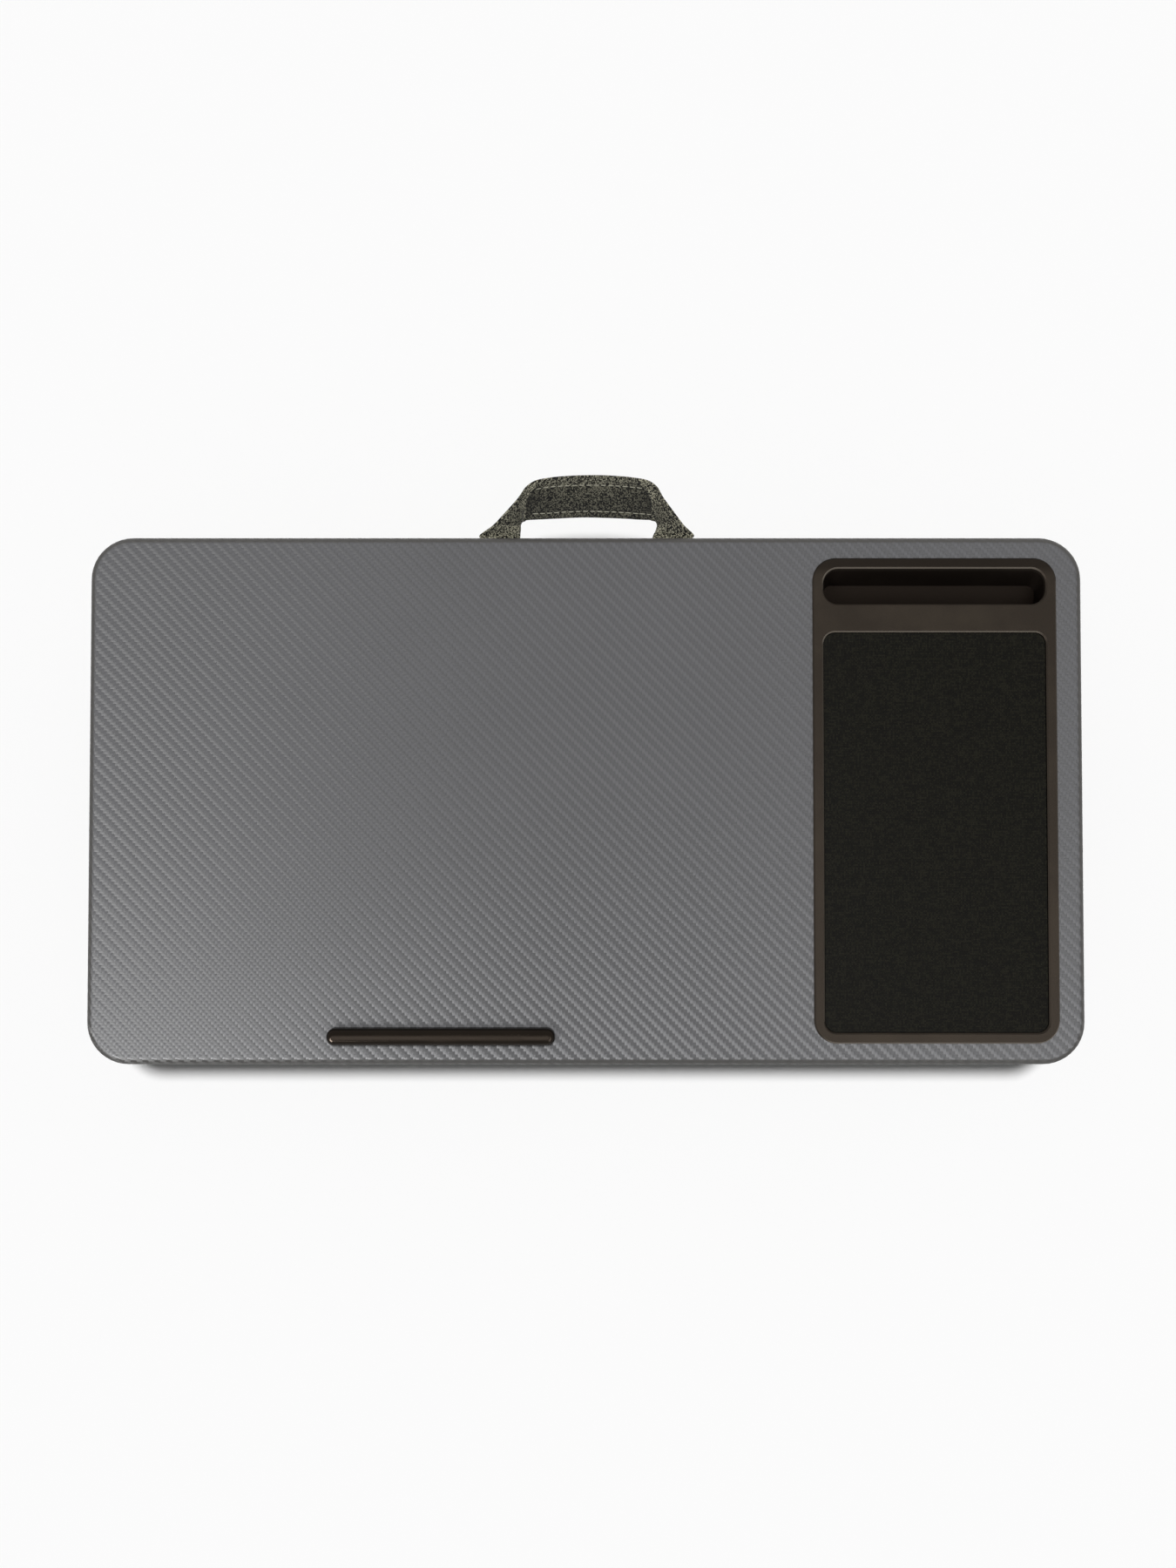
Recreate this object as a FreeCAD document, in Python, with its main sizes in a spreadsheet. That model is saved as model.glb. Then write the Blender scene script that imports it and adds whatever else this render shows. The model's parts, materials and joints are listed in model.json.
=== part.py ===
import FreeCAD, Part
import Sketcher
import math
import os

# Lap tray: a film-covered board on a plastic plate, with a moulded mouse tray let into its right side,
# a laptop stop, two bolster cushions underneath and a padded carry strap at the rear edge.
# Frame: +X to the user's right, +Y away from the user, +Z up, in millimetres. The origin lies on the
# surface that the cushions rest on, in the middle of the whole footprint, carry strap included.

SIZES = {
    # Board: the core, the film wrapped over it and the plate below it
    "board_length": 566,
    "board_depth": 300,
    "board_corner": 24,
    "board_edge_round": 4.5,
    "core_thickness": 9,
    "core_edge_chamfer": 2.6,
    "film_thickness": 0.4,
    "film_glue_gap": 0.05,
    "plate_thickness": 5,
    "plate_inset": 5,
    "plate_edge_chamfer": 1.2,
    # Cushions: two alike, side by side across the plate
    "cushion_end_margin": 11,
    "cushion_side_margin": 10,
    "cushion_height": 48,
    "cushion_channel": 68,
    "cushion_corner": 36,
    "cushion_end_flat": 20,
    "cushion_bulge": 24,
    "cushion_long_draw": 3,
    "cushion_short_draw": 1.2,
    "cover_thickness": 1.2,
    "fill_clearance": 0.3,
    # Mouse tray: the flange on the film, the recess for the pad and the tub that hangs in the board
    "tray_width": 138.5,
    "tray_end_margin": 12.5,
    "tray_corner": 13,
    "tray_margin": 15.6,
    "tray_wall": 2,
    "tray_floor": 2,
    "tray_clearance": 0.5,
    "rim_width": 6,
    "rim_height": 1.6,
    "rim_chamfer": 0.8,
    "bridge_depth": 16,
    # Phone slot: upright in front, leaning at the back
    "slot_mouth": 20.4,
    "slot_floor": 12,
    "slot_drop": 13,
    "slot_front_inset": 0.8,
    "slot_end_inset": 2.3,
    "slot_corner": 8.5,
    "slot_floor_corner": 4.5,
    # Ribs and screw bosses under the tray's floor
    "rib_thickness": 1.6,
    "rib_clearance": 0.3,
    "rib_margin": 9,
    "boss_width": 8,
    "boss_inset": 14,
    # Mouse pad
    "pad_cloth_thickness": 0.6,
    "pad_foam_thickness": 2,
    "pad_corner": 6.5,
    "pad_clearance": 0.3,
    "pad_sink": 1.2,
    # Laptop stop
    "stop_length": 128.3,
    "stop_width": 9.6,
    "stop_height": 7.5,
    "stop_side_height": 4,
    "stop_corner": 4.2,
    "stop_offset": -81.5,
    "stop_front_margin": 12,
    "peg_length": 10,
    "peg_width": 6.4,
    "peg_distance": 90,
    "peg_clearance": 0.3,
    # Screws, all of one kind in two lengths
    "screw_diameter": 3,
    "screw_head_diameter": 6,
    "screw_head_height": 1.8,
    "panel_screw_length": 9.5,
    "tray_screw_length": 6.5,
    "screw_recess": 2.2,
    "screw_head_clearance": 0.4,
    "screw_hole_clearance": 0.1,
    "screw_end_clearance": 0.6,
    # Carry strap: reach and rise are measured from its hinge line
    "hinge_offset": 2.5,
    "hinge_clearance": 0.6,
    "handle_outer_span": 120,
    "handle_inner_span": 76,
    "handle_reach": 32.6,
    "handle_rise": 18,
    "strap_edge_thickness": 1.8,
    "strap_crown_thickness": 4.4,
    "strap_seam_margin": 4,
    "strap_bevel": 6,
    "padding_thickness": 1.8,
    "padding_clearance": 0.2,
    "tab_length": 26,
    "tab_clearance": 0.3,
}

# Cushion outlines from the resting face up: height as a share of the cushion's height, and how far
# the outline lies inside the widest one, as a share of the bulge. The stuffing follows some of the levels.
CUSHION_LEVEL_SHARES = ((0, 1), (0.06, 0.6), (0.2, 0.22), (0.47, 0), (0.78, 0.08), (1, 0.36))
STUFFING_LEVELS = (0, 2, 3, 5)

# Panel screws, in rows: x as shares of half the board's length, y as shares of half its depth
PANEL_SCREW_ROW_SHARES = (
    ((-0.963, 0.963), (-0.75, 0.75)),
    ((-0.62, 0.38), (-0.93, 0.93)),
    ((-0.35, 0.2), (0,)),
)

# Tray screws: their rows, as shares of the pad recess's depth
TRAY_SCREW_ROW_SHARES = (-0.44, 0, 0.44)

# Screws and their holes have flats in place of the round
SCREW_FLAT_COUNT = 8

# Ribs under the tray's floor: how many run front to back and how many run across
LONG_RIB_COUNT = 3
CROSS_RIB_COUNT = 5

# The strap from its root to the middle of the grip. Each station gives x, y and z of its outer edge,
# then of its inner edge, as shares of half the span of that edge, of the reach and of the rise.
# The strap leaves the board flat, rises while it twists, and turns over into the grip.
STRAP_EDGE_SHARES = (
    ((1, 0, 0), (1, 0, 0)),
    ((0.897, 0.153, 0.25), (1.005, 0.074, -0.08)),
    ((0.803, 0.368, 0.53), (1.013, 0.153, -0.19)),
    ((0.73, 0.614, 0.73), (1.021, 0.221, -0.03)),
    ((0.647, 0.828, 0.88), (0.963, 0.255, 0.19)),
    ((0.5, 0.957, 0.96), (0.763, 0.255, 0.33)),
    ((0, 1, 1), (0, 0.276, 0.44)),
)

# How much of its padded thickness the strap has at each of those stations, and where the padding begins
STRAP_CROWN_SHARES = (0, 0, 0, 0, 0.6, 1, 1)
PADDING_FIRST_STATION = 5

# How near two heights count as the same one when edges are chosen
PICK_TOLERANCE = 0.01

# Heights, from the resting face up
PLATE_TOP = "(sizes.cushion_height + sizes.plate_thickness)"
PLATE_TO_FILM = "(sizes.core_thickness + sizes.film_glue_gap + sizes.film_thickness)"
FILM_TOP = f"({PLATE_TOP} + {PLATE_TO_FILM})"
SCREW_SEAT = "(sizes.cushion_height + sizes.screw_recess)"
HINGE_HEIGHT = f"({PLATE_TOP} - sizes.strap_edge_thickness / 2)"

# Sizes that follow the board's
CUSHION_LENGTH = "(sizes.board_length - 2 * sizes.cushion_end_margin)"
CUSHION_DEPTH = "((sizes.board_depth - 2 * sizes.cushion_side_margin - sizes.cushion_channel) / 2)"
TRAY_DEPTH = "(sizes.board_depth - 2 * sizes.tray_end_margin)"

# A cushion's corners leave at least a short flat between them at each end
CUSHION_CORNER = f"min(sizes.cushion_corner; ({CUSHION_DEPTH} - sizes.cushion_end_flat) / 2)"

# Places in plan: the board's own from the origin, the rest from the board's middle
BOARD_Y = "(-(sizes.hinge_offset + sizes.handle_reach) / 2)"
HINGE_Y = "(sizes.board_depth / 2 + sizes.hinge_offset)"
TRAY_X = "(sizes.board_length / 2 - sizes.tray_margin - sizes.tray_width / 2)"
STOP_Y = "(-sizes.board_depth / 2 + sizes.stop_front_margin + sizes.stop_width / 2)"
TAB_X = "((sizes.handle_outer_span + sizes.handle_inner_span) / 4)"
TAB_WIDTH = "((sizes.handle_outer_span - sizes.handle_inner_span) / 2)"
TAB_REAR_Y = f"({HINGE_Y} - sizes.strap_edge_thickness / 2 - sizes.hinge_clearance)"
TAB_SCREW_Y = f"({TAB_REAR_Y} - sizes.tab_length * 2 / 3)"

# The tray's recess and slot, measured from the tray's middle and from the film's top face
RECESS_WIDTH = "(sizes.tray_width - 2 * sizes.rim_width)"
RECESS_DEPTH = f"({TRAY_DEPTH} - 2 * sizes.rim_width - sizes.bridge_depth - sizes.slot_mouth)"
RECESS_Y = f"(-{TRAY_DEPTH} / 2 + sizes.rim_width + {RECESS_DEPTH} / 2)"
PAD_THICKNESS = "(sizes.pad_cloth_thickness + sizes.pad_foam_thickness)"
RECESS_FLOOR = f"(sizes.rim_height - sizes.pad_sink - {PAD_THICKNESS})"
TUB_BOTTOM = f"({RECESS_FLOOR} - sizes.tray_floor)"
TUB_SETBACK = "(sizes.rim_width - sizes.tray_wall)"
SLOT_Y = f"({TRAY_DEPTH} / 2 - sizes.rim_width - sizes.slot_mouth / 2)"
SLOT_FRONT_Y = f"({SLOT_Y} - sizes.slot_mouth / 2 + sizes.slot_front_inset)"
SLOT_FLOOR_LENGTH = f"({RECESS_WIDTH} - 2 * sizes.slot_end_inset)"

doc = FreeCAD.newDocument("lap_tray")
sheet = doc.addObject("Spreadsheet::Sheet", "sizes")
for row, (size_name, size_value) in enumerate(SIZES.items(), 1):
    sheet.set(f"A{row}", size_name)
    sheet.set(f"B{row}", str(size_value))
    sheet.setAlias(f"B{row}", size_name)
doc.recompute()

sub_parts = []


# Helpers: values, places and finished sub-parts


def value(expression):
    """Number that an expression in the sheet's names stands for."""
    return float(sheet.evalExpression(expression))


def place(thing, x, y, z):
    """Bind where an object stands."""
    for axis, expression in zip("xyz", (x, y, z)):
        thing.setExpression(f"Placement.Base.{axis}", expression)


def finish(thing, label):
    """Name an object as a finished sub-part."""
    thing.Label = label
    sub_parts.append(thing)


def new_body(name, x="0", y=BOARD_Y, z="0"):
    """Empty body that stands at x, y, z."""
    body = doc.addObject("PartDesign::Body", name)
    place(body, x, y, z)
    return body


# Helpers: sketches


def flat_sketch(body, name, x="0", y="0", z="0", role="XY_Plane"):
    """Empty sketch on an origin plane of the body, moved by x, y, z in the plane's own axes."""
    sketch = body.newObject("Sketcher::SketchObject", name)
    plane = next(feature for feature in body.Origin.OriginFeatures if feature.Role == role)
    sketch.AttachmentSupport = [(plane, "")]
    sketch.MapMode = "FlatFace"
    for axis, expression in zip("xyz", (x, y, z)):
        sketch.setExpression(f"AttachmentOffset.Base.{axis}", expression)
    return sketch


def bind(sketch, kind, *where_and_expression):
    """Add a constraint that measures something, and bind its size."""
    *where, expression = where_and_expression
    index = sketch.addConstraint(Sketcher.Constraint(kind, *where, value(expression)))
    name = f"{kind}_{index}"
    sketch.renameConstraint(index, name)
    sketch.setExpression(f"Constraints.{name}", expression)


def bind_point(sketch, geometry, end, x, y):
    """Bind the distance of a point from the sketch's origin."""
    bind(sketch, "DistanceX", -1, 1, geometry, end, x)
    bind(sketch, "DistanceY", -1, 1, geometry, end, y)


def join(sketch, kind, first, first_end, second, second_end):
    """Join two ends, plainly or in one smooth line."""
    sketch.addConstraint(Sketcher.Constraint(kind, first, first_end, second, second_end))


def add_line(sketch, start, end):
    """Straight line between two points of the sketch."""
    points = [FreeCAD.Vector(*point, 0) for point in (start, end)]
    return sketch.addGeometry(Part.LineSegment(*points), False)


def add_arc(sketch, centre, radius, first, last):
    """Arc that runs anticlockwise between two angles in radians."""
    circle = Part.Circle(FreeCAD.Vector(*centre, 0), FreeCAD.Vector(0, 0, 1), radius)
    return sketch.addGeometry(Part.ArcOfCircle(circle, first, last), False)


def equal_radii(sketch, arcs, radius):
    """Give all the arcs one bound radius."""
    for other in arcs[1:]:
        sketch.addConstraint(Sketcher.Constraint("Equal", arcs[0], other))
    bind(sketch, "Radius", arcs[0], radius)


def rounded_rectangle(sketch, width, depth, corner):
    """Rectangle with round corners about the sketch's origin."""
    half_x = value(width) / 2
    half_y = value(depth) / 2
    radius = value(corner)
    inner_x = half_x - radius
    inner_y = half_y - radius
    quarter = math.pi / 2
    sides = (
        ((half_x, -inner_y), (half_x, inner_y)),
        ((inner_x, half_y), (-inner_x, half_y)),
        ((-half_x, inner_y), (-half_x, -inner_y)),
        ((-inner_x, -half_y), (inner_x, -half_y)),
    )
    centres = ((inner_x, inner_y), (-inner_x, inner_y), (-inner_x, -inner_y), (inner_x, -inner_y))
    lines = [add_line(sketch, start, end) for start, end in sides]
    arcs = []
    for turn, centre in enumerate(centres):
        arcs.append(add_arc(sketch, centre, radius, turn * quarter, (turn + 1) * quarter))
    for turn, kind in enumerate(("Vertical", "Horizontal") * 2):
        sketch.addConstraint(Sketcher.Constraint(kind, lines[turn]))
        join(sketch, "Tangent", lines[turn], 2, arcs[turn], 1)
        join(sketch, "Tangent", arcs[turn], 2, lines[(turn + 1) % 4], 1)
    equal_radii(sketch, arcs, corner)
    bind(sketch, "DistanceX", -1, 1, lines[0], 1, f"{width} / 2")
    bind(sketch, "DistanceX", lines[2], 1, -1, 1, f"{width} / 2")
    bind(sketch, "DistanceY", -1, 1, lines[1], 1, f"{depth} / 2")
    bind(sketch, "DistanceY", lines[3], 1, -1, 1, f"{depth} / 2")


def rectangle(sketch, width, depth, x="0", y="0"):
    """Square-cornered rectangle about x, y."""
    corners = []
    for x_sign, y_sign in ((-1, -1), (1, -1), (1, 1), (-1, 1)):
        corners.append((f"{x} + {x_sign} * {width} / 2", f"{y} + {y_sign} * {depth} / 2"))
    points = [(value(x), value(y)) for x, y in corners]
    lines = [add_line(sketch, *ends) for ends in zip(points, points[1:] + points[:1])]
    for number, (line, corner) in enumerate(zip(lines, corners)):
        join(sketch, "Coincident", line, 2, lines[(number + 1) % 4], 1)
        bind_point(sketch, line, 1, *corner)


def pillow_outline(sketch, length, depth, corner):
    """Cushion outline about the sketch's origin: round corners joined by sides that are drawn in."""
    half_sides = (f"({depth} / 2 - {corner})", f"({length} / 2 - {corner})")
    draws = ("sizes.cushion_short_draw", "sizes.cushion_long_draw")
    sagging = [f"(({half}^2 / {draw} + {draw}) / 2 - {corner})" for half, draw in zip(half_sides, draws)]
    radius = value(corner)
    centre_y, centre_x = [value(half) for half in half_sides]
    reaches = [value(expression) + radius for expression in sagging]
    turns = [math.asin(half / reach) for half, reach in zip((centre_y, centre_x), reaches)]
    short_far = centre_x + reaches[0] * math.cos(turns[0])
    long_far = centre_y + reaches[1] * math.cos(turns[1])
    quarter = math.pi / 2
    far_centres = ((short_far, 0), (0, long_far), (-short_far, 0), (0, -long_far))
    signs = ((1, 1), (-1, 1), (-1, -1), (1, -1))
    sides = []
    corners = []
    for step, (x_sign, y_sign) in enumerate(signs):
        before = turns[step % 2]
        after = turns[(step + 1) % 2]
        facing = (step + 2) * quarter
        side_radius = reaches[step % 2] - radius
        sides.append(add_arc(sketch, far_centres[step], side_radius, facing - before, facing + before))
        centre = (x_sign * centre_x, y_sign * centre_y)
        corners.append(add_arc(sketch, centre, radius, step * quarter - before, (step + 1) * quarter + after))
    for step in range(4):
        join(sketch, "Tangent", sides[step], 1, corners[step], 1)
        join(sketch, "Tangent", corners[step], 2, sides[(step + 1) % 4], 2)
    equal_radii(sketch, corners, corner)
    for step, side in enumerate(sides):
        bind(sketch, "Radius", side, sagging[step % 2])
    for (x_sign, y_sign), bend in zip(signs, corners):
        bind_point(sketch, bend, 3, f"{x_sign} * {half_sides[1]}", f"{y_sign} * {half_sides[0]}")


# Helpers: features


def pad(body, sketch, name, length, downwards=False):
    """Raise a sketch to a solid."""
    feature = body.newObject("PartDesign::Pad", name)
    feature.Profile = sketch
    feature.setExpression("Length", length)
    feature.Reversed = downwards
    return feature


def pocket(body, sketch, name, depth, upwards=False):
    """Cut a sketch into a solid."""
    feature = body.newObject("PartDesign::Pocket", name)
    feature.Profile = sketch
    feature.setExpression("Length", depth)
    feature.Reversed = upwards
    return feature


def loft(body, kind, name, sections):
    """Straight-sided loft from sketch to sketch, added to the body or cut from it."""
    feature = body.newObject(f"PartDesign::{kind}Loft", name)
    feature.Profile = sections[0]
    feature.Sections = sections[1:]
    feature.Ruled = True
    return feature


def pattern(body, feature, sketch, axis, length, count):
    """Repeat a feature along an axis of its sketch."""
    repeat = body.newObject("PartDesign::LinearPattern", f"{feature.Name}_pattern")
    repeat.Originals = [feature]
    repeat.Direction = (sketch, [axis])
    repeat.setExpression("Length", length)
    repeat.Occurrences = count
    body.Tip = repeat


def edges_at_height(feature, height):
    """Names of the feature's edges that lie at one height of the body's own frame."""
    doc.recompute()
    level = value(height)
    names = []
    for number, edge in enumerate(feature.Shape.Edges, 1):
        box = edge.BoundBox
        if max(abs(box.ZMin - level), abs(box.ZMax - level)) < PICK_TOLERANCE:
            names.append(f"Edge{number}")
    return names


def upright_edges(feature):
    """Names of the feature's edges that run straight up."""
    doc.recompute()
    names = []
    for number, edge in enumerate(feature.Shape.Edges, 1):
        box = edge.BoundBox
        if max(box.XLength, box.YLength) < PICK_TOLERANCE:
            names.append(f"Edge{number}")
    return names


def ease(body, kind, feature, name, edges, size):
    """Fillet or chamfer named edges of a feature."""
    eased = body.newObject(f"PartDesign::{kind}", name)
    eased.Base = (feature, edges)
    eased.setExpression("Radius" if kind == "Fillet" else "Size", size)
    body.Tip = eased
    return eased


# Screws and the holes they need


def panel_screw_places():
    """Places of the screws that join the plate to the core, from the board's middle."""
    places = []
    for x_shares, y_shares in PANEL_SCREW_ROW_SHARES:
        for x_share in x_shares:
            for y_share in y_shares:
                places.append((f"{x_share} * sizes.board_length / 2", f"{y_share} * sizes.board_depth / 2"))
    return places


def tray_screw_places():
    """Places of the tray's screws and bosses, from the tray's middle."""
    across = f"({RECESS_WIDTH} / 2 - sizes.boss_inset)"
    along = f"({RECESS_DEPTH} - sizes.boss_width)"
    places = []
    for sign in (-1, 1):
        for share in TRAY_SCREW_ROW_SHARES:
            places.append((f"{sign} * {across}", f"{RECESS_Y} + {share} * {along}"))
    return places


def stop_screw_places():
    """Places of the laptop stop's pegs and screws, from the board's middle."""
    return [(f"sizes.stop_offset + {sign} * sizes.peg_distance / 2", STOP_Y) for sign in (-1, 1)]


def tab_screw_places():
    """Places of the screws through the strap's clamped ends, from the board's middle."""
    return [(f"{sign} * {TAB_X}", TAB_SCREW_Y) for sign in (-1, 1)]


def prism(name, diameter, height, z):
    """Flat-sided rod or hole that stands on the z axis."""
    rod = doc.addObject("Part::Prism", name)
    rod.Polygon = SCREW_FLAT_COUNT
    rod.setExpression("Circumradius", f"({diameter}) / 2")
    rod.setExpression("Height", height)
    rod.setExpression("Placement.Base.z", z)
    return rod


def fuse(name, first, second):
    """Union of two solids."""
    union = doc.addObject("Part::Fuse", name)
    union.Base = first
    union.Tool = second
    return union


def make_screw(name, length):
    """One screw, head down, with the head's seat at the origin."""
    head_height = "sizes.screw_head_height"
    head = prism(f"{name}_head", "sizes.screw_head_diameter", head_height, f"-{head_height}")
    shank = prism(f"{name}_shank", "sizes.screw_diameter", length, "0")
    return fuse(name, head, shank)


def make_screw_hole(name, length):
    """Room for that screw: the recess for its head and the hole for its shank."""
    head_room = "sizes.screw_head_diameter + 2 * sizes.screw_head_clearance"
    shank_room = "sizes.screw_diameter + 2 * sizes.screw_hole_clearance"
    recess = prism(f"{name}_recess", head_room, "sizes.screw_recess", "-sizes.screw_recess")
    bore = prism(f"{name}_bore", shank_room, f"{length} + sizes.screw_end_clearance", "0")
    return fuse(name, recess, bore)


def scatter(name, thing, places, x="0"):
    """Copies of a screw or of its hole at the same places."""
    copies = []
    for number, (across, along) in enumerate(places):
        copy = doc.addObject("App::Link", f"{name}_{number}")
        copy.LinkedObject = thing
        place(copy, f"{x} + {across}", f"{BOARD_Y} + {along}", SCREW_SEAT)
        copies.append(copy)
    group = doc.addObject("Part::Compound", name)
    group.Links = copies
    return group


def make_screws():
    """The four groups of screws, and all their holes as one tool."""
    panel_screw = make_screw("panel_screw", "sizes.panel_screw_length")
    panel_hole = make_screw_hole("panel_screw_hole", "sizes.panel_screw_length")
    tray_screw = make_screw("tray_screw", "sizes.tray_screw_length")
    tray_hole = make_screw_hole("tray_screw_hole", "sizes.tray_screw_length")
    groups = (
        ("panel_screws", panel_screw, panel_hole, panel_screw_places(), "0"),
        ("laptop_stop_screws", panel_screw, panel_hole, stop_screw_places(), "0"),
        ("handle_tab_screws", panel_screw, panel_hole, tab_screw_places(), "0"),
        ("tray_screws", tray_screw, tray_hole, tray_screw_places(), TRAY_X),
    )
    tools = []
    for label, screw, hole, places, x in groups:
        finish(scatter(f"{label}_group", screw, places, x), label)
        tools.append(scatter(f"{label}_holes", hole, places, x))
    holes = doc.addObject("Part::Compound", "screw_holes")
    holes.Links = tools
    return holes


def drill(blank, holes, label):
    """Cut the screws' holes out of a body and finish it."""
    drilled = doc.addObject("Part::Cut", f"{label}_drilled")
    drilled.Base = blank
    drilled.Tool = holes
    finish(drilled, label)


# The board


def tray_opening(sketch):
    """Outline of the opening that the tray's tub hangs in."""
    room = f"({TUB_SETBACK} - sizes.tray_clearance)"
    width = f"(sizes.tray_width - 2 * {room})"
    depth = f"({TRAY_DEPTH} - 2 * {room})"
    rounded_rectangle(sketch, width, depth, f"(sizes.tray_corner - {room})")


def cut_openings(body, name, height):
    """Cut the tray's opening and the stop's peg holes through a layer of the board."""
    opening = flat_sketch(body, f"{name}_opening", x=TRAY_X)
    tray_opening(opening)
    pocket(body, opening, f"{name}_tray_cut", height, upwards=True)
    pegs = flat_sketch(body, f"{name}_peg_places")
    for x, y in stop_screw_places():
        length = "(sizes.peg_length + 2 * sizes.peg_clearance)"
        rectangle(pegs, length, "(sizes.peg_width + 2 * sizes.peg_clearance)", x, y)
    pocket(body, pegs, f"{name}_peg_cuts", height, upwards=True)


def board_outline(sketch, inset):
    """The board's outline, drawn in all round by an inset."""
    length = f"(sizes.board_length - 2 * {inset})"
    depth = f"(sizes.board_depth - 2 * {inset})"
    rounded_rectangle(sketch, length, depth, f"(sizes.board_corner - {inset})")


def make_top_panel(holes):
    """Core of the board, with the edge taken off where the film turns over it."""
    body = new_body("top_panel_blank", z=PLATE_TOP)
    outline = flat_sketch(body, "core_outline")
    board_outline(outline, "(sizes.film_thickness + sizes.film_glue_gap)")
    slab = pad(body, outline, "core_slab", "sizes.core_thickness")
    edges = edges_at_height(slab, "sizes.core_thickness")
    ease(body, "Chamfer", slab, "core_edge", edges, "sizes.core_edge_chamfer")
    cut_openings(body, "core", "sizes.core_thickness")
    drill(body, holes, "top_panel")


def make_carbon_film():
    """Film wrapped over the board's top and edge: round outside, and open below for the core."""
    body = new_body("film_body", z=PLATE_TOP)
    outline = flat_sketch(body, "film_outline")
    board_outline(outline, "0")
    slab = pad(body, outline, "film_slab", PLATE_TO_FILM)
    edges = edges_at_height(slab, PLATE_TO_FILM)
    ease(body, "Fillet", slab, "film_edge", edges, "sizes.board_edge_round")
    ceiling = f"({PLATE_TO_FILM} - sizes.film_thickness)"
    levels = (
        ("sizes.film_thickness", "0"),
        ("sizes.film_thickness", f"{ceiling} - sizes.core_edge_chamfer"),
        ("(sizes.film_thickness + sizes.core_edge_chamfer)", ceiling),
    )
    sections = []
    for number, (inset, height) in enumerate(levels):
        section = flat_sketch(body, f"film_room_{number}", z=height)
        board_outline(section, inset)
        sections.append(section)
    loft(body, "Subtractive", "film_hollow", sections)
    cut_openings(body, "film", PLATE_TO_FILM)
    finish(body, "carbon_film")


def make_bottom_plate(holes):
    """Plate under the board, with the trough's cut-out, the strap's recesses and the screw holes."""
    body = new_body("bottom_plate_blank", z="sizes.cushion_height")
    outline = flat_sketch(body, "plate_outline")
    board_outline(outline, "sizes.plate_inset")
    slab = pad(body, outline, "plate_slab", "sizes.plate_thickness")
    ease(body, "Chamfer", slab, "plate_edge", edges_at_height(slab, "0"), "sizes.plate_edge_chamfer")
    trough = flat_sketch(body, "trough_opening", x=TRAY_X, y=SLOT_Y)
    wall = "(sizes.tray_wall + sizes.tray_clearance)"
    mouth = f"(sizes.slot_mouth + 2 * {wall})"
    rounded_rectangle(trough, f"({RECESS_WIDTH} + 2 * {wall})", mouth, f"(sizes.slot_corner + {wall})")
    pocket(body, trough, "trough_cut", "sizes.plate_thickness", upwards=True)
    tabs = flat_sketch(body, "tab_recess_outlines", z="sizes.plate_thickness")
    for sign in (-1, 1):
        tab_length = "(sizes.tab_length + sizes.tab_clearance)"
        tab_y = f"{TAB_REAR_Y} - {tab_length} / 2"
        rectangle(tabs, f"({TAB_WIDTH} + 2 * sizes.tab_clearance)", tab_length, f"{sign} * {TAB_X}", tab_y)
    pocket(body, tabs, "tab_recesses", "sizes.strap_edge_thickness")
    drill(body, holes, "bottom_plate")


# The mouse tray, its pad and the laptop stop


def make_mouse_tray(holes):
    """Moulded tray: flange, tub, leaning phone slot, pad recess, ribs and screw bosses."""
    body = new_body("mouse_tray_blank", x=TRAY_X, z=FILM_TOP)
    flange = flat_sketch(body, "flange_outline")
    rounded_rectangle(flange, "sizes.tray_width", TRAY_DEPTH, "sizes.tray_corner")
    pad(body, flange, "flange", "sizes.rim_height")
    tub = flat_sketch(body, "tub_outline")
    width = f"(sizes.tray_width - 2 * {TUB_SETBACK})"
    depth = f"({TRAY_DEPTH} - 2 * {TUB_SETBACK})"
    rounded_rectangle(tub, width, depth, f"(sizes.tray_corner - {TUB_SETBACK})")
    pad(body, tub, "tub", f"-{TUB_BOTTOM}", downwards=True)
    trough = slot_sections(body, "trough", "sizes.tray_wall")
    loft(body, "Additive", "trough", trough)
    tray_ribs(body)
    bosses = flat_sketch(body, "boss_places", z=TUB_BOTTOM)
    for x, y in tray_screw_places():
        rectangle(bosses, "sizes.boss_width", "sizes.boss_width", x, y)
    pad(body, bosses, "bosses", f"{PLATE_TO_FILM} + {TUB_BOTTOM}", downwards=True)
    recess = flat_sketch(body, "pad_recess_outline", y=RECESS_Y, z="sizes.rim_height")
    rounded_rectangle(recess, RECESS_WIDTH, RECESS_DEPTH, "sizes.pad_corner")
    hollow = pocket(body, recess, "pad_recess", f"sizes.rim_height - {RECESS_FLOOR}")
    edges = edges_at_height(hollow, "sizes.rim_height")
    ease(body, "Chamfer", hollow, "rim_edges", edges, "sizes.rim_chamfer")
    lead_in = slot_mouth(body, "slot_lead_in", "sizes.rim_chamfer", "sizes.rim_height")
    slot = slot_sections(body, "slot", "0")
    loft(body, "Subtractive", "phone_slot", [lead_in, *slot])
    drill(body, holes, "mouse_tray")


def slot_mouth(body, name, wall, height):
    """Outline of the slot's mouth at a height, widened by a wall."""
    mouth = flat_sketch(body, name, y=SLOT_Y, z=height)
    depth = f"(sizes.slot_mouth + 2 * {wall})"
    rounded_rectangle(mouth, f"({RECESS_WIDTH} + 2 * {wall})", depth, f"(sizes.slot_corner + {wall})")
    return mouth


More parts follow.
